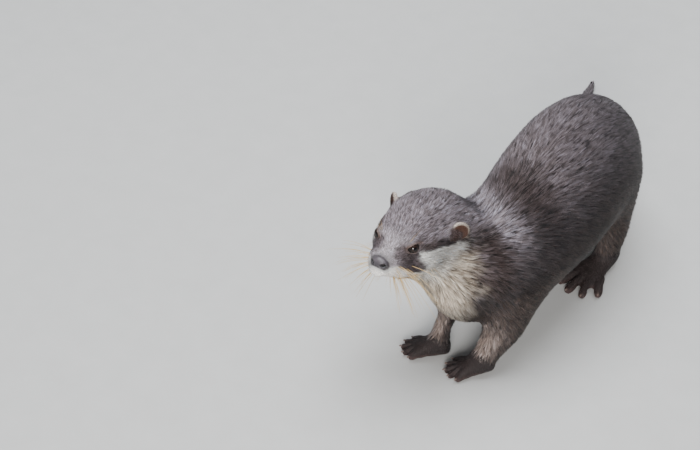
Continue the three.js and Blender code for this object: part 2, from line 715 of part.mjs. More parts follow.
// A claw is a short blunt cone that points a little down from the end of its toe.
function clawForm(limb, i) {
  const { long, radius, taper, dip, sides } = CLAW;
  const profile = [[0, 0], [radius, 0], [radius * taper, long * taper], [0, long]];
  const peg = new THREE.LatheGeometry(profile.map(([x, y]) => new THREE.Vector2(x, y)), sides);
  const angle = limb.angles[i];
  const way = V(Math.sin(rad(angle)), -Math.cos(rad(angle)), -dip).normalize();
  peg.applyQuaternion(new THREE.Quaternion().setFromUnitVectors(V(0, 1, 0), way));
  const { toes, tip } = PAWS[limb.paw];
  peg.translate(...limb.spot(angle, limb.start + toes[i] + tip * 0.3, tip * 1.35));
  return welded(peg);
}

function addFoot(limb) {
  const { name, side, frame, paw, wrist } = limb;
  const { palm, toes } = PAWS[paw];
  const { margin, heel, high } = TRACE.foot;
  const reach = palm + Math.max(...toes) + margin;
  const wide = reach * 0.6 + margin;
  const inFoot = (p) => limb.whole(p.clone().applyMatrix4(frame));
  const box = boxOf({ low: [-wide, -reach, -margin / 2], high: [wide, heel, high] });
  let foot = cutBack(solid(form(inFoot, TRACE.foot, box)), seenFrom(frame, wrist));
  foot = foot.trimByPlane([0, 0, 1], 0);
  const group = new THREE.Group();
  frame.decompose(group.position, group.quaternion, group.scale);
  toes.forEach((_, i) => {
    const claw = clawForm(limb, i);
    foot = foot.subtract(solid(swollen(claw)));
    group.add(mesh(`claw_${name}_${side}_${i + 1}`, solid(claw), COLOUR.claw));
  });
  group.add(mesh(`${name}foot_${side}`, foot, COLOUR.foot));
  otter.add(group);
}

addHead();
addBody();
LIMBS.forEach(addLeg);
LIMBS.forEach(addFoot);

// The origin stands on the floor, under the middle of the whole figure.
const bounds = new THREE.Box3().setFromObject(otter, true);
const middle = bounds.getCenter(V(0, 0, 0)).setZ(bounds.min.z);
for (const part of otter.children) part.position.sub(middle);

export default otter;
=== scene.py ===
import heapq
import math

import bmesh
import bpy
import numpy as np
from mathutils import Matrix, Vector
from mathutils.bvhtree import BVHTree


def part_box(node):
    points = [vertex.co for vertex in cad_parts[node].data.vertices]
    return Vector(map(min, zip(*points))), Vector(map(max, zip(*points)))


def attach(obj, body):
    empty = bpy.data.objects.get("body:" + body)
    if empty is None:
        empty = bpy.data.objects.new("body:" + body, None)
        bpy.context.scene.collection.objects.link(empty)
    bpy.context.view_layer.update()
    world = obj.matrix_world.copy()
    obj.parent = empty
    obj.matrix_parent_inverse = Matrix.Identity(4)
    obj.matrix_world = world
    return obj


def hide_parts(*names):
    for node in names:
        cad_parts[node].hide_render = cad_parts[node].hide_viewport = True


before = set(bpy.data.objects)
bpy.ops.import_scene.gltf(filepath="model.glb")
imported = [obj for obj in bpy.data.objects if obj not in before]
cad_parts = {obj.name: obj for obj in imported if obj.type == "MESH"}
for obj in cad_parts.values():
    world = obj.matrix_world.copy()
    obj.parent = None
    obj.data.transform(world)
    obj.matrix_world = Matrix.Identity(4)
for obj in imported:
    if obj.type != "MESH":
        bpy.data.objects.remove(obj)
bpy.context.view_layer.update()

# Lengths are worked out in millimetres and turned into metres where an object is made.
# -------- driving sizes (mm)
MM = 0.001
SIDES = (("left", 1), ("right", -1))
LIMBS = [(name, side) for name in ("fore", "hind") for side, _ in SIDES]
FLESH = ["head", "neck", "trunk", "tail"]
FLESH += [f"ear_{side}" for side, _ in SIDES]
FLESH += [f"{name}{part}_{side}" for name, side in LIMBS for part in ("leg", "foot")]
CLAWS = [f"claw_{name}_{side}_{i}" for name, side in LIMBS for i in range(1, 6)]

VOXEL = 1.1  # spacing of the skin's points
PUSH = 0.4  # closes the thin cuts between the solids
FILL = 0.6  # a ball that closes each eye socket is this much larger than the eye
# Start, end and radius of the rows of balls that close the channels under the root of the tail.
CHANNELS = [((-20, 68, 77), (20, 86, 49), 6), ((-12, 65, 77), (-21.5, 73.5, 82.5), 7.5)]

# What the coat is like on each part: how deep it stands, how long and wide a tuft is, how many
# tufts there are to a square millimetre, how wide a lock of them is where their tips draw
# together, and how many rounds the skin under them is smoothed.
TRAITS = ("depth", "length", "width", "crowd", "clump", "rounds")
COAT = {
    "head": (2.0, 6.4, 0.52, 2.6, 1.7, 22),
    "neck": (3.2, 9.5, 0.6, 2.1, 1.9, 90),
    "trunk": (3.4, 11.5, 0.66, 2.0, 2.1, 110),
    "tail": (2.4, 9.0, 0.62, 1.7, 2.0, 60),
    "foreleg": (2.0, 7.5, 0.55, 2.2, 2.0, 45),
    "hindleg": (2.2, 8.5, 0.58, 2.0, 2.1, 45),
    "forefoot": (0.45, 2.0, 0.32, 2.8, 0.8, 4),
    "hindfoot": (0.45, 2.2, 0.34, 2.2, 0.9, 4),
    "ear": (0.35, 2.4, 0.34, 5.0, 0.8, 3),
}
# How each trait changes towards the face, and again towards the muzzle, as a part of itself.
NEAR_FACE = {
    "depth": (-0.5, -0.3), "length": (-0.48, -0.3), "width": (-0.38, -0.2), "crowd": (0.75, 0.3),
    "clump": (-0.4, -0.2)}

# Places in the head's own frame: origin midway between the ears, -Y to the nose, +Z to the crown.
EYE_AT = (15.2, -43.4, -1.6)
NOSE_AT = (0, -66.5, -11.5)
EAR_AT = (32.2, 0, -1)
EAR_TURN = 44  # degrees
EAR_SIZE = (8.2, 8.8)  # half the width and height
EYE_RADIUS = 5.4
EYE_GAZE = (0.80, -0.50, 0.30)
EYE_TILT = 14  # degrees, the inner corner lower
EYE_OPEN = (4.9, 2.9)  # half the width and height of the opening
NOSE_SIZE = (8, 4.6, 5.4)  # half the width, depth and height
# The cropped fur before each ear: its middle and reach, and the length and depth of its hair.
EAR_FRONT, EAR_CLEARING = (31.5, -6.5, -1.0), (8.0, 7.5, 8.0)
EAR_FUZZ, EAR_FUZZ_DEPTH = 1.8, 0.5

SMOOTH_IN, SMOOTH_OUT = 0.6, 0.615  # shares of each smoothing step, and of the step back
HANG = 0.45  # how much the hair of the flanks and legs turns downwards
# The gap between two toes: its depth and half-width, and how far it runs back, as a part of the
# way from the claws to the middle of the foot.
TOE_CREASE, TOE_GAP_WIDTH, TOE_GAP_REACH = 2.4, 1.0, 0.62


# -------- small tools
def numbers(*starts):
    """The places in FLESH of the parts whose names start so."""
    return [i for i, name in enumerate(FLESH) if name.startswith(starts)]


def unit(v):
    return v / np.maximum(np.linalg.norm(v, axis=-1, keepdims=True), 1e-9)


def step(a, b, x):
    t = np.clip((x - a) / (b - a), 0, 1)
    return t * t * (3 - 2 * t)


def bump(x, centre, width):
    return np.exp(-(((x - centre) / width) ** 2))


def mix(a, b, t):
    t = np.asarray(t)[..., None]
    return np.asarray(a) * (1 - t) + np.asarray(b) * t


def srgb(r, g, b):
    c = np.array([r, g, b]) / 255
    return np.where(c < 0.04045, c / 12.92, ((c + 0.055) / 1.055) ** 2.4)


def dot(a, b):
    return (a * b).sum(-1)


def norm(vectors):
    return np.linalg.norm(vectors, axis=1)


def ripple(points, wave, seed, count=7):
    """A smooth random value from about -1 to 1 at each point, with waves about that long."""
    dice = np.random.default_rng(seed)
    total = np.zeros(len(points))
    for _ in range(count):
        way = unit(dice.normal(size=3))
        turns = 2 * math.pi / (wave * dice.uniform(0.7, 1.5))
        total += np.sin(points @ way * turns + dice.uniform(0, 6.3))
    return total / math.sqrt(count)


def linked(name, data):
    obj = bpy.data.objects.new(name, data)
    bpy.context.scene.collection.objects.link(obj)
    return obj


def given(item, **settings):
    """The item, once its settings have these values."""
    for key, value in settings.items():
        setattr(item, key, value)
    return item


def modified(obj, kind, **settings):
    """The mesh of an object as a modifier leaves it."""
    given(obj.modifiers.new("change", kind), **settings)
    return bpy.data.meshes.new_from_object(obj.evaluated_get(bpy.context.evaluated_depsgraph_get()))


def move(mesh, points):
    """Puts the points of a mesh at places in mm."""
    mesh.vertices.foreach_set("co", (points * MM).astype(np.float32).ravel())


def make(name, points, faces):
    """An object from points in mm and an array of faces that all have the same number of corners."""
    mesh = bpy.data.meshes.new(name)
    size = faces.shape[1]
    mesh.vertices.add(len(points))
    move(mesh, points)
    mesh.loops.add(faces.size)
    mesh.loops.foreach_set("vertex_index", faces.astype(np.int32).ravel())
    mesh.polygons.add(len(faces))
    mesh.polygons.foreach_set("loop_start", np.arange(0, faces.size, size, dtype=np.int32))
    mesh.polygons.foreach_set("use_smooth", np.ones(len(faces), bool))
    mesh.update(calc_edges=True)
    return linked(name, mesh)


def paint(mesh, name, colours):
    """Stores up to four numbers for each point of a mesh, as a colour."""
    four = np.ones((len(colours), 4), dtype=np.float32)
    four[:, :colours.shape[1]] = colours
    mesh.attributes.new(name, "FLOAT_COLOR", "POINT").data.foreach_set("color", four.ravel())


def read(items, key, width, kind):
    """A setting of many items, with that many numbers for each, as an array."""
    values = np.empty(len(items) * width, dtype=kind)
    items.foreach_get(key, values)
    return values.reshape(-1, width)


def dress(obj, colours, material):
    paint(obj.data, "mark", colours)
    obj.data.materials.append(material)
    return obj


def points_of(mesh):
    return read(mesh.vertices, "co", 3, np.float32).astype(float) / MM


def triangles_of(mesh):
    mesh.calc_loop_triangles()
    return read(mesh.loop_triangles, "vertices", 3, np.int32)


def corners_of(points, tris):
    """The three corners of each triangle, and a normal as long as twice its area."""
    a, b, c = (points[tris[:, k]] for k in range(3))
    return a, b, c, np.cross(b - a, c - a)


def gather(index, values, count):
    """Adds up values (n, 3) over the points that index (n,) names."""
    return np.stack([np.bincount(index, weights=values[:, k], minlength=count) for k in range(3)], 1)


def normals_of(points, tris):
    n = corners_of(points, tris)[3]
    return unit(sum(gather(tris[:, k], n, len(points)) for k in range(3)))


def centre_of(node):
    low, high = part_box(node)
    return np.array((low + high) / 2) / MM


def halves(quads):
    """Two triangles for each quad."""
    return np.concatenate([quads[:, [0, 1, 2]], quads[:, [0, 2, 3]]])


def circle(count):
    return np.linspace(0, 2 * math.pi, count, endpoint=False)


def rings(radii, heights, columns):
    """Points of rings about Z, one after another."""
    u = circle(columns)
    level = np.ones(columns)
    return np.concatenate([
        np.stack([r * np.cos(u), r * np.sin(u), z * level], 1) for r, z in zip(radii, heights)])


def ring_quads(rows, columns):
    """The faces between rings of points that follow one another."""
    i, j = np.meshgrid(np.arange(rows - 1) * columns, np.arange(columns), indexing="ij")
    after = (j + 1) % columns
    return np.stack([i + j, i + after, i + columns + after, i + columns + j], -1).reshape(-1, 4)


# -------- the head's frame
def head_frame():
    """(origin, axes) from the places of the eyes and the nose; the axes are rows."""
    left, right, nose = (centre_of(n) for n in ("eye_left", "eye_right", "nose"))
    x = unit(left - right)
    middle = (left + right) / 2
    ahead = nose - middle
    ahead = unit(ahead - x * (ahead @ x))
    across = np.cross(x, ahead)
    local = unit(np.array(NOSE_AT[1:]) - np.array(EYE_AT[1:]))
    y = local[0] * ahead - local[1] * across
    z = local[1] * ahead + local[0] * across
    axes = np.stack([x, y, z])
    return middle - np.array([0, EYE_AT[1], EYE_AT[2]]) @ axes, axes


HEAD_ORIGIN, HEAD_AXES = head_frame()


def to_head(points):
    return (points - HEAD_ORIGIN) @ HEAD_AXES.T


def from_head(points):
    return np.asarray(points, dtype=float) @ HEAD_AXES + HEAD_ORIGIN


def on_side(place, side):
    """A place or way of the left side, mirrored where side is -1."""
    return np.array(place) * (side, 1, 1)


def eye_axes(side):
    """Rows: towards the nose, up, and out of the head, for one eye, in the head's frame."""
    out = unit(on_side(EYE_GAZE, side))
    up = unit(np.array([0, 0, 1]) - out * out[2])
    front = np.cross(up, out) * side
    front = front if front[1] < 0 else -front
    turn = math.radians(EYE_TILT)
    c, s = math.cos(turn), math.sin(turn)
    return np.stack([front * c - up * s, up * c + front * s, out])


def to_eye(points, side):
    """Each point of the head's frame as (towards the nose, up, out) from the middle of an eye."""
    return (points - on_side(EYE_AT, side)) @ eye_axes(side).T


def from_eye(local, side):
    return local @ eye_axes(side) + on_side(EYE_AT, side)


def eye_ring(local):
    """1 on the edge of the lids, less inside the opening, more outside it."""
    return np.hypot(local[:, 0] / EYE_OPEN[0], local[:, 1] / EYE_OPEN[1])


def before_ear(h, side):
    """1 on the edge of the cropped fur in front of an ear, less inside it."""
    return norm((h - on_side(EAR_FRONT, side)) / EAR_CLEARING)


# -------- the whole skin, as points
def joined(parts):
    points, faces, start = [], [], 0
    for p, f in parts:
        points.append(p)
        faces.append(f + start)
        start += len(p)
    return np.concatenate(points), np.concatenate(faces)


def ball(centre, radius, rows=12, columns=16):
    """Points and triangles of a ball."""
    turn = np.linspace(0.001, math.pi - 0.001, rows)
    quads = np.roll(ring_quads(rows, columns)[:, ::-1], 1, axis=1)
    return rings(np.sin(turn), np.cos(turn), columns) * radius + centre, halves(quads)


def fillers():
    """Balls inside the body that close the channels where the cuts between three solids meet."""
    for start, end, radius in CHANNELS:
        start, end = np.array(start, float), np.array(end, float)
        count = int(np.linalg.norm(end - start) / radius * 1.5) + 1
        for t in np.linspace(0, 1, count):
            yield ball(start + t * (end - start), radius)


def node_parts(names, push):
    for name in names:
        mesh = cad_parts[name].data
        points, tris = points_of(mesh), triangles_of(mesh)
        yield points + normals_of(points, tris) * push, tris


def one_surface():
    """The solids of flesh as one closed surface of quads, with the eye sockets and nose filled."""
    points, tris = joined(
        list(node_parts(FLESH, PUSH)) + list(node_parts(["nose", "eye_left", "eye_right"], FILL))
        + list(fillers()))
    source = make("source", points, tris)
    mesh = modified(source, "REMESH", mode="VOXEL", voxel_size=VOXEL * MM)
    bpy.data.objects.remove(source)
    return points_of(mesh), read(mesh.loops, "vertex_index", 1, np.int32).reshape(-1, 4)


class Skin:
    """The skin's points, its neighbours, and what the coat is like at each point."""

    def __init__(self):
        self.points, self.quads = one_surface()
        self.near, self.count = self.neighbours([0, 1, 2, 3], [1, 2, 3, 0])
        self.part = self.parts()
        self.traits = self.coat_traits()
        self.smooth()
        self.tris = halves(self.quads)
        self.normals = normals_of(self.points, self.tris)
        self.toe_creases = self.between_toes()
        self.points = self.points - self.normals * (TOE_CREASE * self.toe_creases)[:, None]
        self.normals = normals_of(self.points, self.tris)
        self.head = to_head(self.points)
        self.face_traits()
        self.outer = self.points
        self.inner = self.points - self.normals * self.traits["depth"][:, None]
        self.lie = self.coat_lie()

    def neighbours(self, start, end):
        """A table of each point's neighbours, filled up with the point itself, and their number.
        Two points are neighbours where a quad has them at one of the starts and its end."""
        total = len(self.points)
        a, b = self.quads[:, start], self.quads[:, end]
        a, b = np.concatenate([a.ravel(), b.ravel()]), np.concatenate([b.ravel(), a.ravel()])
        key = np.unique(a.astype(np.int64) * total + b)
        first, second = key // total, key % total
        count = np.bincount(first, minlength=total)
        place = np.arange(len(key)) - np.repeat(np.cumsum(count) - count, count)
        table = np.repeat(np.arange(total)[:, None], count.max(), 1)
        table[first, place] = second
        return table, count

    def mean(self, values):
        """The mean over each point's neighbours."""
        flat = values.reshape(len(values), -1)
        spare = (self.near.shape[1] - self.count)[:, None]
        around = sum(flat[self.near[:, k]] for k in range(self.near.shape[1])) - spare * flat
        return (around / self.count[:, None]).reshape(values.shape)

    def blurred(self, values, rounds):
        for _ in range(rounds):
            values = 0.5 * values + 0.5 * self.mean(values)
        return values

    def share(self, rounds, *starts):
        """How far each point belongs to the parts whose names start so, blurred."""
        return self.blurred(np.isin(self.part, numbers(*starts)).astype(float), rounds)

    def parts(self):
        """The index in FLESH of the solid that each point lies on."""
        points, tris = joined(list(node_parts(FLESH, 0)))
        owner = np.concatenate([
            np.full(len(triangles_of(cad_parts[n].data)), i) for i, n in enumerate(FLESH)])
        tree = BVHTree.FromPolygons(points.tolist(), tris.tolist())
        found = [tree.find_nearest(p)[2] for p in self.points.tolist()]
        return owner[np.array(found)]

    def coat_traits(self):
        rows = np.array([COAT[n.split("_")[0]] for n in FLESH])
        return dict(zip(TRAITS, self.blurred(rows[self.part], 14).T.copy()))

    def smooth(self):
        """Rounds off the solids' facets, keeping the volume: the most on the trunk, least on toes."""
        rounds = self.traits["rounds"]
        p = self.points
        for i in range(int(rounds.max())):
            share = np.clip(rounds - i, 0, 1)[:, None]
            p = p + SMOOTH_IN * share * (self.mean(p) - p)
            p = p - SMOOTH_OUT * share * (self.mean(p) - p)
        self.points = p

    def between_toes(self):
        """1 along the middle of each gap between two toes, 0 away from the gaps."""
        crease = np.zeros(len(self.points))
        for name, side in LIMBS:
            mine = self.part == FLESH.index(f"{name}foot_{side}")
            p = self.points[mine][:, :2]
            tips = np.array([centre_of(f"claw_{name}_{side}_{i}") for i in range(1, 6)])[:, :2]
            heel = centre_of(f"{name}foot_{side}")[:2]
            for a, b in zip(tips, tips[1:]):
                front = (a + b) / 2
                back = front + (heel - front) * TOE_GAP_REACH
                way = back - front
                t = (p - front) @ way / (way @ way)
                off = norm(p - front - np.clip(t, -0.5, 1)[:, None] * way)
                gap = bump(off, 0, TOE_GAP_WIDTH) * step(1.0, 0.45, t)
                crease[mine] = np.maximum(crease[mine], gap)
        return crease

    def face_traits(self):
        """Shorter, finer and closer hair towards the nose and round the eyes."""
        h = self.head
        on_head = self.share(6, "head")
        face = on_head * step(-14, -46, h[:, 1])
        muzzle = on_head * step(-50, -62, h[:, 1])
        t = self.traits
        for trait, (by_face, by_muzzle) in NEAR_FACE.items():
            t[trait] = t[trait] * (1 + by_face * face) * (1 + by_muzzle * muzzle)
        by_ear = step(1.15, 0.75, np.minimum(*(before_ear(h, side) for _, side in SIDES)))
        t["length"] = t["length"] * (1 - by_ear) + EAR_FUZZ * by_ear
        t["depth"] = t["depth"] * (1 - by_ear) + EAR_FUZZ_DEPTH * by_ear
        self.on_head = on_head

    def coat_lie(self):
        """The way the hair lies: away from the nose over the skin, smoothed, as unit vectors."""
        across, _ = self.neighbours([0, 1, 2, 3, 0, 1], [1, 2, 3, 0, 2, 3])
        p = self.points
        lengths = np.linalg.norm(p[across] - p[:, None, :], axis=2)
        start = int(np.argmin(norm(self.head - NOSE_AT)))
        far = [math.inf] * len(p)
        far[start] = 0.0
        near_list, length_list = across.tolist(), lengths.tolist()
        queue = [(0.0, start)]
        while queue:
            d, i = heapq.heappop(queue)
            if d > far[i]:
                continue
            for j, step_length in zip(near_list[i], length_list[i]):
                new = d + step_length
                if new < far[j]:
                    far[j] = new
                    heapq.heappush(queue, (new, j))
        far = np.array(far)
        far = self.blurred(np.where(np.isfinite(far), far, 0), 25)
        way = self.flat(self.slope(far) + self.comb())
        for _ in range(12):
            way = self.flat(self.mean(way) + 0.4 * way)
        return way

    def slope(self, values):
        """The direction in which values rise fastest along the skin."""
        a, b, c, n = corners_of(self.points, self.tris)
        area = np.maximum(dot(n, n), 1e-9)[:, None]
        va, vb, vc = (values[self.tris[:, k]][:, None] for k in range(3))
        way = (np.cross(n, c - b) * va + np.cross(n, a - c) * vb + np.cross(n, b - a) * vc) / area
        size = np.sqrt(area)
        return unit(sum(gather(self.tris[:, k], way * size, len(self.points)) for k in range(3)))

    def comb(self):
        """Hair on the flanks and legs also hangs a little."""
        hang = np.zeros_like(self.points)
        steep = 1 - np.abs(self.normals[:, 2])
        hang[:, 2] = -HANG * steep * (1 - self.on_head)
        return hang

    def flat(self, vectors):
        return unit(vectors - self.normals * dot(vectors, self.normals)[:, None])


# -------- lids, mouth and the nose's edge
LID = 0.4  # thickness of a lid over the eye
LID_FOLD, LID_HOLLOW = 0.25, 0.2  # how far the lid's edge stands out, and the hollow round it goes in
EYE_INSET = 1.2  # how far the skin passes inside the eyeball, in the opening
NOSE_SINK = 2.2  # how far the skin passes behind the bare nose pad
# The line between the lips: its front and corner along the muzzle, their heights, and its depth.
MOUTH_START, MOUTH_CORNER = -68, -28
MOUTH_FRONT_AT, MOUTH_CORNER_AT = -21, -30.5
MOUTH_DEPTH = 1.5
CLEFT_DEPTH = 0.9  # of the groove from the nose to the mouth
LIP_SWELL = 0.5


def nose_ring(h):
    """1 on the edge of the nose pad, less inside it, more outside it."""
    return norm((h - NOSE_AT) / NOSE_SIZE)


def mouth_height(y):
    """The height of the line between the lips at a place along the muzzle, in the head's frame."""
    t = np.clip((y - MOUTH_START) / (MOUTH_CORNER - MOUTH_START), 0, 1.2)
    return MOUTH_FRONT_AT + (MOUTH_CORNER_AT - MOUTH_FRONT_AT) * t ** 0.8 + 1.6 * step(0.85, 1.1, t)


def face_detail(points, normals):
    """Skin points with lids round the eyes and a line between the lips."""
    h = to_head(points)
    out = h.copy()
    for _, side in SIDES:
        local = to_eye(h, side)
        far = norm(local)
        near = (far < EYE_RADIUS + 5) & (local[:, 2] > -1)
        local, far = local[near], far[near][:, None]
        ring = eye_ring(local)[:, None]
        rim = EYE_RADIUS + LID + LID_FOLD * bump(ring, 1.06, 0.10) - LID_HOLLOW * bump(ring, 1.5, 0.15)
        fade = step(2.3, 1.4, ring)
        lifted = np.maximum(far, rim * fade + far * (1 - fade))
        sunk = EYE_RADIUS - EYE_INSET
        target = np.where(ring < 1, sunk + (lifted - sunk) * step(0.9, 1.0, ring), lifted)
        out[near] = from_eye(local * (target / far), side)
    y, z = h[:, 1], h[:, 2]
    line = z - mouth_height(y)
    slit = MOUTH_DEPTH * bump(line, 0, 0.9) * step(MOUTH_CORNER + 1.5, MOUTH_CORNER - 3, y)
    slit = slit * (y < MOUTH_CORNER + 2) * (z < -15)
    cleft = CLEFT_DEPTH * bump(h[:, 0], 0, 0.7) * step(-60, -64, y)
    cleft = cleft * step(-24, -21, z) * step(-13, -15.5, z)
    lip = LIP_SWELL * bump(line, 2.2, 1.5) * step(MOUTH_CORNER, MOUTH_CORNER - 8, y) * (z < -12)
    behind_pad = NOSE_SINK * step(1.22, 0.95, nose_ring(h))
    n = normals @ HEAD_AXES.T
    made = from_head(out - n * (slit + cleft + behind_pad - lip)[:, None])
    made[:, 2] = np.maximum(made[:, 2], 0)
    return made


# -------- markings
DARK = srgb(56, 45, 40)
SKY_SHEEN = srgb(106, 98, 100)
RIDGE_AND_HIGHLIGHT = srgb(136, 130, 135)
HOLLOW_AND_SHADE = srgb(58, 48, 46)
UNDERSIDE_SHADE = srgb(40, 32, 28)
CROWN = srgb(131, 123, 127)
BRIDGE_HIGHLIGHT = srgb(164, 158, 161)
MASK = srgb(84, 74, 75)
STRIPE = srgb(58, 46, 42)
CHEEK = srgb(236, 239, 236)
LIP = srgb(252, 251, 247)
CHIN = srgb(228, 204, 156)
THROAT = srgb(186, 178, 163)
SHIN = srgb(88, 75, 68)
FORELEG_HIGHLIGHT = srgb(136, 124, 117)
FOOT = srgb(50, 41, 40)
TOE_TIP = srgb(92, 71, 68)
EAR_RIM = srgb(190, 178, 166)
EAR_BOWL = srgb(58, 36, 27)
EYE_RING = srgb(104, 78, 62)
LID_EDGE = srgb(24, 19, 20)

SKY_WAY = unit(np.array([-0.25, 0.15, 0.95]))  # the coat gets a painted sheen, lighter and greyer, where it faces this way

# Lines through the middle of a marking, with its half-width at each point: the pale throat and
# chest in the head's frame, and in the model's the silver ridge over the shoulders with a painted
# highlight, the dark hollow behind it with painted shade, and the dark side of the neck behind the
# left ear with painted shade where the head meets the neck.
THROAT_LINE = [
    ((0, -50, -28), 14), ((8, -28, -34), 32), ((19, -11, -44), 36), ((27, -5, -60), 31),
    ((33, -1, -80), 20)]
RIDGE_LINE = [((8, -118, 122), 13), ((43, -136, 130), 14), ((68, -138, 123), 11)]
HOLLOW_LINE = [((24, -96, 141), 24), ((54, -106, 138), 30), ((86, -108, 118), 22)]
NAPE_LINE = [((28, -148, 128), 9), ((48, -152, 121), 12), ((64, -156, 110), 13), ((76, -156, 90), 14)]
# The side of the face, as (y, z) in the head's frame: the dark patch before the eye, and the top
# of the white lip.
PATCH_LINE = [((0, -53, -4), 6), ((0, -50, -10), 6.5), ((0, -43, -20), 6)]
LIP_TOP = ((-70, -61, -58, -53, -47, -38), (-11.5, -12.5, -15, -19, -22.5, -27))


def near_line(points, line):
    """How far points are from a line of (place, half-width), as a part of its half-width there."""
    best = np.full(len(points), 9.0)
    for (a, wa), (b, wb) in zip(line, line[1:]):
        a, b = np.array(a, float), np.array(b, float)
        t = np.clip(((points - a) @ (b - a)) / ((b - a) @ (b - a)), 0, 1)
        gap = norm(points - (a + t[:, None] * (b - a)))
        best = np.minimum(best, gap / (wa + (wb - wa) * t))
    return best


def ear_view(h, side):
    """Places in an ear's own frame: across and up as parts of its size, and how far behind it."""
    turn = math.radians(EAR_TURN) * side
    x, y = h[:, 0] - side * EAR_AT[0], h[:, 1] - EAR_AT[1]
    return (
        (x * math.cos(turn) + y * math.sin(turn)) / EAR_SIZE[0],
        (-x * math.sin(turn) + y * math.cos(turn)),
        (h[:, 2] - EAR_AT[2]) / EAR_SIZE[1])


class Marking:
    """The coat's colour at each point of the skin, laid down one marking after another."""

    def __init__(self, skin):
        self.skin, self.p, self.h = skin, skin.points, skin.head
        self.noise, self.fine = ripple(self.p, 14, 3), ripple(self.p, 4, 4, 11)
        self.x, self.y, self.z = np.abs(self.h[:, 0]), self.h[:, 1], self.h[:, 2]
        self.head = skin.share(10, "head")
        self.colour = np.tile(DARK, (len(self.p), 1))
        self.bare = np.zeros(len(self.p))
        self.body()
        self.face()
        self.eyes_and_mouth()
        self.ears()
        self.feet()
        shade = 1 + 0.06 * self.noise + 0.04 * self.fine
        self.colour = np.clip(self.colour * shade[:, None], 0, 1)
        self.bare = np.clip(self.bare, 0, 1)

    def lay(self, colour, share, bare=0.0):
        self.colour = mix(self.colour, colour, np.clip(share, 0, 1))
        self.bare = np.maximum(self.bare, bare * share)

    def body(self):
        facing, legs = self.skin.normals @ SKY_WAY, self.skin.share(10, "foreleg")
        around = (1 - self.head) * (1 - self.skin.share(10, "tail"))
        # Painted highlight: the coat is lighter and greyer where it faces up towards the sky, as a
        # sheen of its light.
        self.lay(SKY_SHEEN, step(-0.25, 1.0, facing + 0.03 * self.noise) * (1 - 0.8 * self.head))
        # Partly painted light: the ridge's pale fur carries a painted highlight, and the dark fur of
        # the hollow and of the neck's side carries painted shade.
        for colour, line, edge, core, ragged, share in (
                (HOLLOW_AND_SHADE, HOLLOW_LINE, 1.35, 0.0, 0.06, 1),
                (RIDGE_AND_HIGHLIGHT, RIDGE_LINE, 1.35, 0.2, 0.08, around),
                (HOLLOW_AND_SHADE, NAPE_LINE, 1.3, 0.3, 0.08, 0.9 * around)):
            self.lay(colour, step(edge, core, near_line(self.p, line) + ragged * self.noise) * share)
        # Painted shade: the coat is darker where it faces down, under the body.
        self.lay(UNDERSIDE_SHADE, step(0.2, -0.45, self.skin.normals[:, 2]) * 0.95)
        self.lay(SHIN, (legs + self.skin.share(10, "hindleg")) * 0.6)
        # Painted highlight: the fronts of the forelegs are lighter where they face forwards, from the
        # wrist up.
        front = step(0.1, 0.8, self.skin.normals @ unit(np.array([-0.5, -1.0, 0.25])))
        z = self.p[:, 2] + 6 * self.noise
        self.lay(FORELEG_HIGHLIGHT, legs * front * step(68, 38, z) * (0.25 + 0.75 * step(12, 30, z)))
        self.lay(THROAT, step(1.2, 0.7, near_line(self.h, THROAT_LINE) + 0.10 * self.noise)
                 * step(46, 70, self.p[:, 2]) * 0.95)

    def face(self):
        x, y, z, head = self.x, self.y, self.z, self.head
        ragged = 0.6 * self.noise + 0.6 * self.fine
        side = np.stack([np.zeros(len(y)), y, z], 1)
        edge = -5.3 - 2.9 * step(-33, -6, y) - 6 * step(0, 22, y)
        above = step(edge - 1.4, edge + 1.4, z + ragged)
        lip_top = np.interp(y, *LIP_TOP)
        lip = step(lip_top + 1.3, lip_top - 1.3, z + 0.6 * ragged) * step(-34, -44, y)
        back = step(-43.5, -40, y - 0.15 * (z + 7) + ragged)
        self.lay(CROWN, head * np.maximum(above, 1 - back))
        # Painted highlight: lighter along the top of the muzzle.
        self.lay(BRIDGE_HIGHLIGHT, head * step(-36, -60, y) * step(20, 6, x) * 0.8)
        self.lay(CHEEK, head * (1 - above) * back * step(30, 14, y))
        self.lay(THROAT, head * (1 - above) * back * step(-16, -32, z) * step(-34, -12, y) * 0.7)
        patch = step(1.45, 0.55, near_line(side, PATCH_LINE) + 0.10 * ragged) * step(4, 9.5, x)
        self.lay(MASK, head * patch * 0.92)
        self.lay(LIP, head * lip)
        below = step(mouth_height(y) + 0.5, mouth_height(y) - 1.5, z)
        self.lay(CHIN, head * below * step(-30, -42, y) * 0.8)
        stripe = step(edge - 1.3, edge + 1.3, z + ragged) * step(edge + 9, edge + 3, z)
        stripe = stripe * step(-42, -37, y) * step(16, -6, y) * step(10, 17, x)
        self.lay(STRIPE, head * stripe * 0.9)
        under_ear = step(-6, 10, y) * step(4, -6, z) * (1 - step(-12, -20, z)) * step(18, 26, x)
        self.lay(DARK, head * under_ear * 0.7)

    def eyes_and_mouth(self):
        for _, side in SIDES:
            local = to_eye(self.h, side)
            ring = eye_ring(local)
            close = (norm(local) < EYE_RADIUS + 4).astype(float)
            self.lay(EYE_RING, close * bump(ring, 1.3, 0.3) * (0.35 + 0.35 * step(-1, 2, local[:, 1])))
            self.lay(LID_EDGE, close * step(1.15, 1.05, ring), bare=1.0)
        y, z, gap = self.y, self.z, np.abs(self.z - mouth_height(self.y))
        mouth = self.head * bump(gap, 0, 0.8) * step(MOUTH_CORNER + 1, MOUTH_CORNER - 3, y) * (z < -15)
        self.lay(STRIPE, mouth * 0.8, bare=1.0)
        pad = nose_ring(self.h)
        self.lay(MASK, self.head * step(1.5, 1.15, pad) * 0.6)
        self.lay(LID_EDGE, self.head * step(1.32, 1.18, pad) * 0.9, bare=1.1)

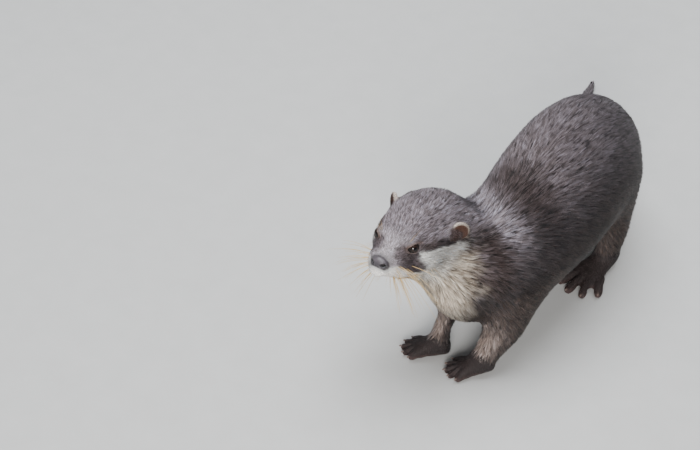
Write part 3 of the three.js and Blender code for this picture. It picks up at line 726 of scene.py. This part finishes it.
    def ears(self):
        for name, side in SIDES:
            here = self.skin.share(1, f"ear_{name}")
            across, out, up = ear_view(self.h, side)
            reach = np.hypot(across, up)
            self.lay(EAR_RIM, here * step(0.5, 0.95, reach))
            inside = here * step(0.5, -0.3, out)
            self.lay(EAR_BOWL, inside * step(0.97, 0.80, reach), bare=0.85)
            # Painted shade: darkest low in the middle of the bowl, at the ear's opening.
            self.lay(LID_EDGE, inside * step(0.5, 0.2, np.hypot(across, up + 0.3)) * 0.7)
            self.lay(EAR_BOWL, step(1.0, 0.5, before_ear(self.h, side)) * (1 - here) * 0.8)

    def feet(self):
        foot = self.skin.share(30, "forefoot") + self.skin.share(30, "hindfoot")
        self.lay(FOOT, step(0.05, 0.85, foot + 0.1 * self.noise))
        low = step(9, 5, self.p[:, 2])
        self.lay(TOE_TIP, step(0.7, 1, foot) * low * 0.4 * (0.6 + 0.4 * self.fine))
        # Painted shade in the gaps between the toes.
        self.lay(LID_EDGE, self.skin.toe_creases * 0.8)
        self.bare = np.maximum(self.bare, step(0.3, 0.8, foot) * step(6, 3, self.p[:, 2]))
        self.bare = np.maximum(self.bare, step(0.3, 0.7, self.skin.toe_creases))


# -------- materials
class Shader:
    """A node material that is put together a node at a time."""

    def __init__(self, name, **settings):
        self.material = bpy.data.materials.new(name)
        self.material.use_nodes = True
        self.tree = self.material.node_tree
        self.tree.nodes.clear()
        self.bsdf = self.add("ShaderNodeBsdfPrincipled")
        for key, value in settings.items():
            self.bsdf.inputs[key.replace("_", " ")].default_value = value
        self.link(self.bsdf.outputs[0], self.add("ShaderNodeOutputMaterial").inputs["Surface"])

    def add(self, kind, **settings):
        node = self.tree.nodes.new(kind)
        for key, value in settings.items():
            if key in node.inputs:
                node.inputs[key].default_value = value
            else:
                setattr(node, key, value)
        return node

    def link(self, a, b):
        self.tree.links.new(a, b)

    def put(self, socket, value):
        if isinstance(value, bpy.types.NodeSocket):
            self.link(value, socket)
        else:
            socket.default_value = value

    def fed(self, node, values, output=0):
        """An output of a node, once its inputs, by name or number, have their values."""
        for key, value in values.items():
            self.put(node.inputs[key], value)
        return node.outputs[output]

    def math(self, operation, a, b):
        return self.fed(self.add("ShaderNodeMath", operation=operation), {0: a, 1: b})

    def times(self, a, b):
        return self.math("MULTIPLY", a, b)

    def scaled(self, value, low, high):
        """value from 0 to 1, spread from low to high."""
        return self.fed(self.add("ShaderNodeMapRange"), {"Value": value, "To Min": low, "To Max": high})

    def tint(self, colour, factor):
        """colour times a number."""
        node = self.add("ShaderNodeVectorMath", operation="SCALE")
        return self.fed(node, {0: colour, "Scale": factor})

    def blend(self, factor, a, b):
        return self.fed(self.add("ShaderNodeMix", data_type="RGBA"), {0: factor, 6: a, 7: b}, 2)

    def stored(self, name):
        return self.add("ShaderNodeAttribute", attribute_name=name).outputs["Color"]

    def channels(self, name):
        """The three numbers of a stored colour."""
        node = self.add("ShaderNodeSeparateColor")
        self.link(self.stored(name), node.inputs[0])
        return node.outputs

    def place(self):
        return self.add("ShaderNodeTexCoord").outputs["Object"]

    def noise(self, scale, detail=3.0, vector=None, roughness=0.55):
        node = self.add("ShaderNodeTexNoise", Scale=scale, Detail=detail, Roughness=roughness)
        return self.fed(node, {"Vector": vector or self.place()}, "Fac")

    def cells(self, scale):
        node = self.add("ShaderNodeTexVoronoi", Scale=scale)
        return self.fed(node, {"Vector": self.place()}, "Distance")

    def relief(self, height, distance, strength):
        node = self.add("ShaderNodeBump", Strength=strength, Distance=distance)
        self.link(self.fed(node, {"Height": height}), self.bsdf.inputs["Normal"])

    def coloured(self, colour):
        self.link(colour, self.bsdf.inputs["Base Color"])
        return self.material

    def marked(self, grain, low, high):
        """The material in the colour stored as mark, lightened and darkened by a grain."""
        return self.coloured(self.tint(self.stored("mark"), self.scaled(grain, low, high)))


def coat_material():
    """Strands dark brown at the root and pale at the tip, partly their own tips and partly a painted
    highlight; each a little unlike the next.
    """
    s = Shader("fur_tufts", Roughness=0.48, Specular_IOR_Level=0.3, Sheen_Weight=0.03,
               Sheen_Roughness=0.35, Sheen_Tint=(0.88, 0.91, 1.0, 1))
    along, across, lock = s.channels("strand")
    spot = s.math("ADD", s.times(across, 2.5), s.times(lock, 90.0))
    spot = s.fed(s.add("ShaderNodeCombineXYZ"), {
        0: spot, 1: s.times(along, 1.5), 2: s.times(lock, 37.0)})
    hairs = s.noise(1.6, 3.0, spot, 0.6)
    # Paler from root to tip: partly the hair's own pale tips, partly a painted highlight.
    tone = s.times(s.scaled(along, 0.40, 1.50), s.scaled(hairs, 0.75, 1.25))
    tone = s.times(tone, s.scaled(lock, 0.1, 1.94))
    cast = s.blend(lock, (1.14, 0.98, 0.88, 1), (0.97, 0.99, 1.05, 1))
    colour = s.fed(s.add("ShaderNodeVectorMath", operation="MULTIPLY"), {0: s.stored("mark"), 1: cast})
    return s.coloured(s.tint(colour, tone))


def skin_material():
    """Dark short underfur, and pored hide where the skin is bare."""
    s = Shader("fur_skin", Roughness=0.7, Specular_IOR_Level=0.25)
    mark, bare = s.stored("mark"), s.channels("trait")[0]
    fuzz = s.noise(2600)
    under = s.tint(mark, s.scaled(fuzz, 0.25, 0.7))
    hide = s.tint(mark, s.scaled(s.noise(900, 4.0), 0.7, 1.3))
    s.relief(s.math("ADD", s.times(fuzz, 0.6), s.times(s.cells(1100.0), 0.5)), 0.0004, 0.6)
    return s.coloured(s.blend(bare, under, hide))


def nose_material():
    s = Shader("nose_leather", Roughness=0.42, Specular_IOR_Level=0.5, Coat_Weight=0.12,
               Coat_Roughness=0.3)
    s.relief(s.times(s.cells(1500.0), -1.0), 0.0003, 0.5)
    return s.marked(s.noise(260), 0.75, 1.3)


def eye_material():
    s = Shader("eye_wet", Roughness=0.05, Specular_IOR_Level=0.3, Coat_Weight=0.15,
               Coat_Roughness=0.02, IOR=1.4)
    return s.marked(s.noise(1800, 4.0), 0.7, 1.35)


def claw_material():
    s = Shader("claw_horn", Roughness=0.4, Specular_IOR_Level=0.5)
    grain = s.noise(900)
    s.relief(grain, 0.0002, 0.4)
    return s.marked(grain, 0.75, 1.25)


def whisker_material():
    s = Shader("whisker_hair", Roughness=0.35, Specular_IOR_Level=0.5)
    return s.marked(s.noise(300, 2.0), 0.85, 1.15)


def floor_material():
    s = Shader("floor_plain", Roughness=0.8)
    return s.coloured(s.blend(s.noise(40, 4.0), (0.40, 0.395, 0.385, 1), (0.45, 0.445, 0.435, 1)))


# -------- the skin as a piece
SHARE_LEFT = 0.62  # of the skin's faces, after the plain stretches are thinned
# The face is divided twice: within these reaches of the eyes' edges, and first along the mouth too.
DIVIDED = ((4.5, 3.2), (1.5, 0))


def thin(obj, keep):
    """Leaves the object with fewer faces where keep is 0."""
    group = obj.vertex_groups.new(name="thin")
    group.add(np.nonzero(keep < 0.5)[0].tolist(), 1.0, "REPLACE")
    mesh = modified(obj, "DECIMATE", ratio=SHARE_LEFT, vertex_group="thin", vertex_group_factor=1.0)
    obj.modifiers.clear()
    obj.vertex_groups.clear()
    obj.data = mesh


def divide(mesh, chosen):
    """Cuts each edge between two chosen points in half."""
    bm = bmesh.new()
    bm.from_mesh(mesh)
    bm.verts.ensure_lookup_table()
    edges = [e for e in bm.edges if chosen[e.verts[0].index] and chosen[e.verts[1].index]]
    bmesh.ops.subdivide_edges(bm, edges=edges, cuts=1, use_grid_fill=True)
    bm.to_mesh(mesh)
    bm.free()


def make_skin(skin, colour, bare, material):
    """The skin under the coat, finer round the eyes and the mouth."""
    obj = make("skin", skin.inner, skin.quads)
    paint(obj.data, "mark", colour)
    paint(obj.data, "trait", bare[:, None])
    thin(obj, skin.share(6, "head", "ear", "forefoot", "hindfoot"))
    for by_eye, by_mouth in DIVIDED:
        h = to_head(points_of(obj.data))
        near = (h[:, 1] < -34) & (np.abs(h[:, 2] - mouth_height(h[:, 1])) < by_mouth)
        for _, side in SIDES:
            near |= np.abs(norm(to_eye(h, side)) - EYE_RADIUS) < by_eye
        divide(obj.data, near)
    mesh = obj.data
    points, tris = points_of(mesh), triangles_of(mesh)
    points = face_detail(points, normals_of(points, tris))
    move(mesh, points)
    mesh.polygons.foreach_set("use_smooth", np.ones(len(mesh.polygons), bool))
    mesh.update()
    mesh.materials.append(material)
    return obj


# -------- tufts
TUFT_FACES = np.array([(0, 3, 1), (1, 3, 2), (2, 3, 0), (0, 1, 2)])
TUFT_ALONG = np.array([0, 0, 0, 1])
TUFT_ACROSS = np.array([0, 0.5, 1, 0.5])
PATCH = 0.003  # size of a tuft's patch on the bake map
SINK = 0.5  # mm that a tuft's root is under the skin
LEAST_COAT = 0.6  # mm that the tips are over the skin where it rises into the lids
DRAW = 0.65  # how far the tips of a lock draw together
LOCK_WARP = 1.2  # mm that the edges of the locks wander
CELLS = 8192  # more than the cells that locks are sorted into along any axis
LENGTHS, WIDTHS = (0.7, 1.2), (0.7, 1.4)  # how tufts differ, as parts of the part's own
SWIRL, STRAY = 0.08, 0.07  # how far they turn aside, together and each alone, in radians
LOCK_DROP, TUFT_DROP = 0.30, 0.12  # how far tips sink, as parts of the coat's depth
ROLL = 0.6  # how far a tuft is turned about its length, in radians
LOCK_TONE, TUFT_TONE, PLACE_TONE = 0.31, 0.14, 0.03  # how tones differ: locks, tufts, places
PALE_CALM = 0.8  # how much less they differ on white hair


def walk(skin, start, goal, rounds=16):
    """From each start point, steps to the neighbour nearest to its goal until it gets no nearer."""
    def apart(points, goal):
        return ((skin.cover[points] - goal) ** 2).sum(-1)

    here = start.copy()
    for _ in range(rounds):
        choice = skin.near[here]
        best = choice[np.arange(len(here)), apart(choice, goal[:, None, :]).argmin(1)]
        nearer = apart(best, goal) < apart(here, goal)
        if not nearer.any():
            break
        here = np.where(nearer, best, here)
    return here


def sow(skin, faces, dice, bare):
    """Roots spread evenly over some faces: (face, place in it) for each."""
    tris = skin.tris[faces]
    area = norm(corners_of(skin.outer, tris)[3]) / 2
    wanted = area * skin.traits["crowd"][tris].mean(1) * (1 - bare[tris].mean(1))
    total = np.cumsum(wanted)
    count = int(total[-1])
    marks = (np.arange(count) + dice.uniform(0, 1, count)) * total[-1] / count
    chosen = faces[np.searchsorted(total, marks)]
    u, v = np.sqrt(dice.uniform(0, 1, count)), dice.uniform(0, 1, count)
    return chosen, np.stack([1 - u, u * (1 - v), u * v], 1)


def locks(points, size):
    """The lock that each root belongs to, and how many roots each lock has."""
    warp = np.stack([ripple(points, 7, 21 + k) for k in range(3)], 1) * LOCK_WARP
    grade = np.exp2(np.round(2 * np.log2(size)) / 2)[:, None]
    cell = np.floor((points + warp) / grade).astype(np.int64) + CELLS // 2
    key = (cell[:, 0] * CELLS + cell[:, 1]) * CELLS + cell[:, 2]
    _, lock, members = np.unique(key, return_inverse=True, return_counts=True)
    return lock, members


def tufts(name, skin, faces, colour, bare, unwrap, material, seed):
    """One coat piece: a thin tapered tuft at each root, lying back over the next."""
    dice = np.random.default_rng(seed)
    chosen, share = sow(skin, faces, dice, bare)
    corners = skin.tris[chosen]

    def at(values):
        picked = values[corners]
        return (picked * (share[:, :, None] if picked.ndim == 3 else share)).sum(1)

    count = len(chosen)
    outer, root = at(skin.cover), at(skin.detailed)
    up, way = unit(at(skin.normals)), at(skin.lie)
    length = at(skin.traits["length"]) * dice.uniform(*LENGTHS, count)
    width = at(skin.traits["width"]) * dice.uniform(*WIDTHS, count)
    depth = at(skin.traits["depth"])
    swirl = SWIRL * ripple(outer, 9, 11) + SWIRL * ripple(outer, 28, 12)
    swirl = swirl + dice.normal(0, STRAY, count)
    side = np.cross(up, way)
    way = unit(way * np.cos(swirl)[:, None] + side * np.sin(swirl)[:, None])
    goal = outer + way * length[:, None]
    reached = walk(skin, corners[:, 0], goal)
    lift = skin.normals[reached]
    on_skin = goal - lift * dot(goal - skin.cover[reached], lift)[:, None]

    lock, members = locks(outer, at(skin.traits["clump"]))
    drawn = gather(lock, on_skin, len(members)) / members[:, None]
    drop = dice.normal(0, LOCK_DROP, len(members))[lock] + dice.normal(0, TUFT_DROP, count)
    tip = on_skin + DRAW * (drawn[lock] - on_skin) - lift * (depth * np.abs(drop))[:, None]
    base = root - up * SINK
    side = unit(np.cross(up, unit(tip - base)))
    roll = dice.uniform(-ROLL, ROLL, count)[:, None]
    half = side * np.cos(roll) + up * np.sin(roll)
    ridge = up * np.cos(roll) - side * np.sin(roll)
    w = 0.5 * width[:, None]
    points = np.stack([base - half * w, base + ridge * (1.1 * w), base + half * w, tip], 1)
    points = points.reshape(-1, 3)
    points[:, 2] = np.maximum(points[:, 2], 0)
    faces_out = (TUFT_FACES[None] + 4 * np.arange(count)[:, None, None]).reshape(-1, 3)
    obj = make(name, points, faces_out)
    mesh = obj.data
    tone = LOCK_TONE * dice.normal(size=len(members))[lock] + TUFT_TONE * dice.normal(size=count)
    tone += PLACE_TONE * ripple(outer, 6, 13)
    mark = at(colour)
    tone = np.clip(0.5 + tone * (1 - PALE_CALM * mark.mean(1)), 0, 1)
    paint(mesh, "mark", np.repeat(mark, 4, 0))
    paint(mesh, "strand", np.stack([
        np.tile(TUFT_ALONG, count), np.tile(TUFT_ACROSS, count), np.repeat(tone, 4)], 1))
    uv = unwrap(root)
    spread = np.stack([TUFT_ACROSS - 0.5, TUFT_ALONG - 0.5], 1) * PATCH
    corner_uv = (uv[:, None, :] + spread[None])[:, TUFT_FACES.ravel()].reshape(-1, 2)
    layer = mesh.uv_layers.new(name="OFBake")
    layer.data.foreach_set("uv", corner_uv.astype(np.float32).ravel())
    mesh.materials.append(material)
    return obj


def around_lines(lines):
    """An unwrap round some axes. Each line is (start, end), and has its own strip of the map."""
    def unwrap(points):
        best, uv = np.full(len(points), np.inf), np.zeros((len(points), 2))
        for strip, (start, end) in enumerate(lines):
            axis = end - start
            t = (points - start) @ axis / (axis @ axis)
            off = points - (start + np.clip(t, 0, 1)[:, None] * axis)
            gap, way = norm(off), unit(axis)
            e1 = unit(np.cross(way, np.array([0.3, 0.2, 0.93])))
            angle = (np.arctan2(off @ np.cross(way, e1), off @ e1) / (2 * math.pi)) % 1
            place = np.clip((t + 0.4) / 1.8, 0, 1)
            cell = np.stack([(strip + 0.02 + 0.96 * angle) / len(lines), 0.02 + 0.96 * place], 1)
            closer = gap < best
            best = np.where(closer, gap, best)
            uv[closer] = cell[closer]
        return uv
    return unwrap


def around_spine(points):
    """An unwrap round the middles of the slices of a body part, which are taken along Y."""
    low, high = points[:, 1].min(), points[:, 1].max()
    stops = np.linspace(low, high, 24)
    middles = []
    for stop in stops:
        near = points[np.abs(points[:, 1] - stop) < (high - low) / 20][:, ::2]
        middles.append((near.min(0) + near.max(0)) / 2 if len(near) else middles[-1])
    middles = np.array(middles)

    def unwrap(p):
        off = p[:, ::2] - np.stack([np.interp(p[:, 1], stops, middles[:, k]) for k in range(2)], 1)
        angle = (np.arctan2(off[:, 1], off[:, 0]) / (2 * math.pi) + 0.25) % 1
        place = np.clip((p[:, 1] - low) / (high - low), 0, 1)
        return np.stack([0.01 + 0.98 * angle, 0.01 + 0.98 * place], 1)
    return unwrap


def make_coat(skin, colour, bare, material):
    """All coat pieces. The trunk's is parted along its length, to keep each piece small."""
    owner = skin.part[skin.tris[:, 0]]
    middle = skin.outer[skin.tris].mean(1)
    pieces = []

    def faces_of(*starts):
        return np.nonzero(np.isin(owner, numbers(*starts)))[0]

    def add(name, faces, unwrap=None):
        unwrap = unwrap or around_spine(skin.outer[np.unique(skin.tris[faces])])
        pieces.append(tufts(name, skin, faces, colour, bare, unwrap, material, 100 + len(pieces)))

    head = faces_of("head", "ear")
    left = to_head(middle[head])[:, 0] > 0
    add("coat_head_left", head[left])
    add("coat_head_right", head[~left])
    add("coat_neck", faces_of("neck"))
    trunk = faces_of("trunk")
    along = middle[trunk][:, 1]
    quarter = np.searchsorted(np.quantile(along, [0.25, 0.5, 0.75]), along, side="right")
    for k in range(4):
        add(f"coat_trunk_{k + 1}", trunk[quarter == k])
    add("coat_tail", faces_of("tail"))
    for name in ("fore", "hind"):
        lines = []
        for side, _ in SIDES:
            low, high = (np.array(corner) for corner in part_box(f"{name}leg_{side}"))
            top = (low + high) / 2 / MM
            top[2] = high[2] / MM
            lines.append((top, top * (1, 1, 0)))
        add(f"coat_{name}legs", faces_of(f"{name}leg", f"{name}foot"), around_lines(lines))
    return pieces


# -------- eyes, nose, claws and whiskers
def grid_object(name, points, columns, colour, material):
    """A closed tube or ball from rows of points, each row a ring, with its two ends capped."""
    rows = len(points) // columns
    obj = make(name, points, ring_quads(rows, columns))
    bm = bmesh.new()
    bm.from_mesh(obj.data)
    bm.verts.ensure_lookup_table()
    bm.faces.new([bm.verts[k] for k in range(columns)][::-1])
    bm.faces.new([bm.verts[(rows - 1) * columns + k] for k in range(columns)])
    bmesh.ops.recalc_face_normals(bm, faces=bm.faces)
    for f in bm.faces:
        f.smooth = True
    bm.to_mesh(obj.data)
    bm.free()
    return dress(obj, colour, material)


PUPIL, IRIS, WHITE = srgb(5, 4, 5), srgb(30, 19, 14), srgb(14, 10, 9)
PUPIL_EDGE, IRIS_EDGE = (0.26, 0.32), (0.52, 0.62)  # in radians from the middle of the eye
CORNEA = 0.35  # mm that the middle of the eye stands out
EYE_ROWS, EYE_COLUMNS = 40, 48


def make_eye(side, name, material):
    """An eyeball with its pupil and iris, which face out of the lids."""
    turn = np.linspace(0.01, math.pi - 0.01, EYE_ROWS)
    radius = EYE_RADIUS + CORNEA * bump(turn, 0, 0.5)
    local = rings(radius * np.sin(turn), radius * np.cos(turn), EYE_COLUMNS)
    angle = np.repeat(turn, EYE_COLUMNS)
    colour = mix(PUPIL[None], IRIS, step(*PUPIL_EDGE, angle))
    colour = mix(colour, WHITE, step(*IRIS_EDGE, angle))
    points = from_head(from_eye(local, side))
    return grid_object(f"eyeball_{name}", points, EYE_COLUMNS, colour, material)


NOSTRIL_AT = (4.7, 1.0)  # across and up from the middle of the nose pad
NOSTRIL_DEPTH, SLIT_DEPTH, GROOVE_DEPTH, WING = 3.0, 2.0, 0.6, 0.55
PAD, PAD_TOP, NOSTRIL = srgb(56, 52, 57), srgb(78, 69, 72), srgb(8, 6, 7)
PAD_ROWS, PAD_COLUMNS = 60, 84


def make_nose(material):
    """The bare nose pad, with two comma-shaped nostrils and a groove between them."""
    turn = np.linspace(0.03, math.pi - 0.03, PAD_ROWS)
    ball_points = rings(np.sin(turn), np.cos(turn), PAD_COLUMNS)[:, [0, 2, 1]] * (1, -1, 1)
    wide, deep, high = NOSE_SIZE
    x, y, z = ball_points.T
    flare = 1 - 0.22 * step(0.1, -0.9, z) * np.abs(x)
    local = np.stack([x * wide * flare, y * deep, z * high * (0.92 + 0.10 * bump(x, 0, 0.5))], 1)
    a, b = np.abs(local[:, 0]) - NOSTRIL_AT[0], local[:, 2] - NOSTRIL_AT[1]
    hole = bump(np.hypot(a / 2.1, (b - 0.35 * a) / 1.6), 0, 0.85)
    slit = bump(np.hypot((a - 2.2) / 2.6, (b + 0.4 + 0.1 * a) / 0.95), 0, 0.85)
    wing = WING * bump(np.hypot(a / 2.6, (b - 1.9) / 1.1), 0, 0.9)
    groove = GROOVE_DEPTH * bump(local[:, 0], 0, 0.45) * step(2.2, -1, local[:, 2])
    front = step(0.1, -0.35, y)
    local[:, 1] += front * (NOSTRIL_DEPTH * hole + SLIT_DEPTH * slit + groove - wing)
    # Painted shade: the nostrils and the groove between them are darkened as they sink.
    dark = np.clip(front * (1.2 * hole + 1.1 * slit + 0.35 * groove), 0, 1)
    # The pad is lighter towards its top.
    colour = mix(mix(PAD[None], PAD_TOP, step(0.3, 1, z) * 0.5), NOSTRIL, dark)
    return grid_object("nose_pad", from_head(local + NOSE_AT), PAD_COLUMNS, colour, material)


def tube(line, radii, side, up, columns):
    """Rings of points round a line, which lie in the plane of two vectors."""
    u = circle(columns)
    ring = np.outer(np.cos(u), side) + np.outer(np.sin(u), up)
    return (line[:, None, :] + radii[:, None, None] * ring[None]).reshape(-1, 3)


# A nail starts this far before its solid, under the skin, and ends this far along it, as parts of
# the solid's length. The solid's end is the toe's pad.
NAIL_ROOT, NAIL_SHARE = -0.25, 0.8
NAIL_RADIUS, NAIL_FLAT = 1.05, 0.8  # half its height, and its width as a part of that
NAIL_DARK, NAIL_TIP = srgb(62, 49, 45), srgb(112, 94, 85)
NAIL_ROWS, NAIL_COLUMNS = 9, 12


def make_claw(name, material):
    """A short blunt claw with a curved back, over the length of its solid."""
    points = points_of(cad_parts[name].data)
    middle = points.mean(0)
    axis = unit(points[np.argmax(norm(points - middle))] - middle)
    along = (points - middle) @ axis
    up = unit(np.array([0, 0, 1]) - axis * axis[2])
    t = np.linspace(NAIL_ROOT, NAIL_SHARE, NAIL_ROWS)
    inside = np.clip(t, 0, 1)
    radii = NAIL_RADIUS * np.sqrt(np.clip(1 - (inside / NAIL_SHARE) ** 2.2 * 0.985, 0.01, 1))
    arch = 0.5 * np.sin(inside * math.pi) - 0.25 * inside ** 2
    line = middle + np.outer(along.min() + np.ptp(along) * t, axis) + np.outer(arch, up)
    points = tube(line, radii, np.cross(up, axis) * NAIL_FLAT, up, NAIL_COLUMNS)
    points[:, 2] = np.maximum(points[:, 2], 0)
    shade = mix(NAIL_DARK, NAIL_TIP, np.repeat(inside, NAIL_COLUMNS))
    obj = grid_object(name.replace("claw", "nail"), points, NAIL_COLUMNS, shade, material)
    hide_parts(name)
    return obj


def hair(root, way, length, droop, radius, rows=9, columns=5):
    """One long tapering hair that bends down under its own weight."""
    t = np.linspace(0, 1, rows)
    line = root + np.outer(t * length, way)
    line[:, 2] -= droop * length * t ** 2
    side = unit(np.cross(way, np.array([0.1, 0.2, 1.0])))
    points = tube(line, radius * (1 - 0.75 * t), side, np.cross(side, way), columns)
    last = (rows - 1) * columns
    ends = [(0, k + 1, k) for k in range(1, columns - 1)]
    ends += [(last, last + k, last + k + 1) for k in range(1, columns - 1)]
    return points, np.concatenate([halves(ring_quads(rows, columns)), np.array(ends)])


WHISKER = srgb(186, 156, 106)
WHISKER_ROWS, WHISKER_COLUMNS = 5, 6
WHISKER_SINK = 0.8  # mm that a root is under the skin
# Over the eye, on the cheek and on the chin: how many, the place and way of the first and what is
# added for each next one, its length and what is added, how far it droops, and its radius.
FEW_WHISKERS = (
    (3, (12, -44, 0), (0, 0, 0), (0.45, -0.55, 1.0), (0, 0.3, 0), 12, 2, 0.08, 0.08),
    (3, (12, -30, -16), (0, 0, 0), (1, -0.3, -0.5), (0, 0.2, 0), 13, 3, 0.25, 0.16),
    (8, (2, -54, -22), (0.9, 1.6, 0), (0.15, -0.5, -1), (0.07, 0.12, 0), 9, 1.4, 0.1, 0.16))
HEAD_REACH = 30  # mm within which a ray from inside the head has to meet the skin


def make_whiskers(skin_obj, side, name, material):
    """Whiskers on the lip, over the eye, on the cheek and on the chin."""
    dice = np.random.default_rng(31 + side)
    tree = BVHTree.FromObject(skin_obj, bpy.context.evaluated_depsgraph_get())
    parts = []

    def plant(at, way, long, droop, radius):
        """A hair where a way out of a place in the head meets the skin."""
        start = from_head(on_side(at, side))
        out = unit(on_side(way, side)) @ HEAD_AXES
        hit = tree.ray_cast(Vector(start * MM), Vector(out))[0]
        if hit is None or np.linalg.norm(np.array(hit) / MM - start) > HEAD_REACH:
            return
        parts.append(hair(np.array(hit) / MM - out * WHISKER_SINK, out, long, droop, radius))

    for row in range(WHISKER_ROWS):
        for k in range(WHISKER_COLUMNS):
            f, low = k / (WHISKER_COLUMNS - 1), row / (WHISKER_ROWS - 1)
            way = np.array([0.80 - 0.10 * low, -0.55 + 0.62 * f, 0.25 - 0.95 * low - 0.35 * f])
            way = way + dice.normal(0, 0.09, 3)
            long = (20 + 16 * f - 3.0 * low) * dice.uniform(0.8, 1.2)
            plant((4, -57 + 7 * f, -16 - 4.0 * low), way, long, dice.uniform(0.16, 0.34), 0.24)
    for count, at, on, way, turn, long, more, droop, radius in FEW_WHISKERS:
        at, on, way, turn = (np.array(v, float) for v in (at, on, way, turn))
        for k in range(count):
            plant(at + on * k, way + turn * k, long + more * k, droop, radius)
    points, tris = joined(parts)
    return dress(make(f"whiskers_{name}", points, tris), np.tile(WHISKER, (len(points), 1)), material)


# -------- camera, light and floor
CAMERA_AT = (0.57245, -0.92020, 0.91228)
CAMERA_TURN = (50, 0, 41)  # degrees: down from the zenith, roll, and round from -Y
CAMERA_LENS = 76.9  # mm, on a 36 mm sensor
# Name, place and width in metres, power in watts, and tint.
LAMPS = (
    ("light_sky", (-0.25, 0.25, 1.9), 1.8, 80, (0.92, 0.96, 1.0)),
    ("light_left", (-1.2, -1.2, 1.1), 1.0, 7, (0.96, 0.98, 1.0)),
    ("light_front", (1.0, -1.6, 0.8), 0.7, 54, (1.0, 0.99, 0.97)))
SKY_TINT, SKY_STRENGTH = (0.76, 0.79, 0.83, 1), 0.36
FLOOR_CORNERS = np.array([(-1, -1, 0), (1, -1, 0), (1, 1, 0), (-1, 1, 0)]) * 6000.0


def make_stage():
    floor = make("floor", FLOOR_CORNERS, np.array([(0, 1, 2, 3)]))
    floor.data.materials.append(floor_material())

    data = given(bpy.data.cameras.new("camera"), lens=CAMERA_LENS, sensor_width=36)
    camera = linked("camera", data)
    given(camera, location=CAMERA_AT, rotation_euler=[math.radians(a) for a in CAMERA_TURN])
    bpy.context.scene.camera = camera

    for name, at, size, power, tint in LAMPS:
        lamp = bpy.data.lights.new(name, "AREA")
        given(lamp, shape="DISK", size=size, energy=power, color=tint)
        turn = (-Vector(at)).to_track_quat("-Z", "Y").to_euler()
        given(linked(name, lamp), location=at, rotation_euler=turn)

    world = bpy.data.worlds.new("studio")
    world.use_nodes = True
    background = world.node_tree.nodes["Background"]
    background.inputs[0].default_value = SKY_TINT
    background.inputs[1].default_value = SKY_STRENGTH
    bpy.context.scene.world = world


# -------- the otter
def main():
    make_stage()
    skin = Skin()
    skin.detailed = face_detail(skin.inner, skin.normals)
    skin.cover = face_detail(skin.outer, skin.normals)
    rise = dot(skin.cover - skin.detailed, skin.normals)
    skin.cover += skin.normals * np.maximum(LEAST_COAT - rise, 0)[:, None]
    marking = Marking(skin)
    colour, bare = marking.colour, marking.bare
    skin_obj = make_skin(skin, colour, bare, skin_material())
    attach(skin_obj, "root")
    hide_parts(*FLESH)

    for piece in make_coat(skin, colour, bare, coat_material()):
        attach(piece, "root")

    wet = eye_material()
    hair_look = whisker_material()
    for name, side in SIDES:
        eye = make_eye(side, name, wet)
        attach(eye, "root")
        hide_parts(f"eye_{name}")
        whiskers = make_whiskers(skin_obj, side, name, hair_look)
        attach(whiskers, "root")
    nose = make_nose(nose_material())
    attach(nose, "root")
    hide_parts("nose")
    horn = claw_material()
    for name in CLAWS:
        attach(make_claw(name, horn), "root")


main()
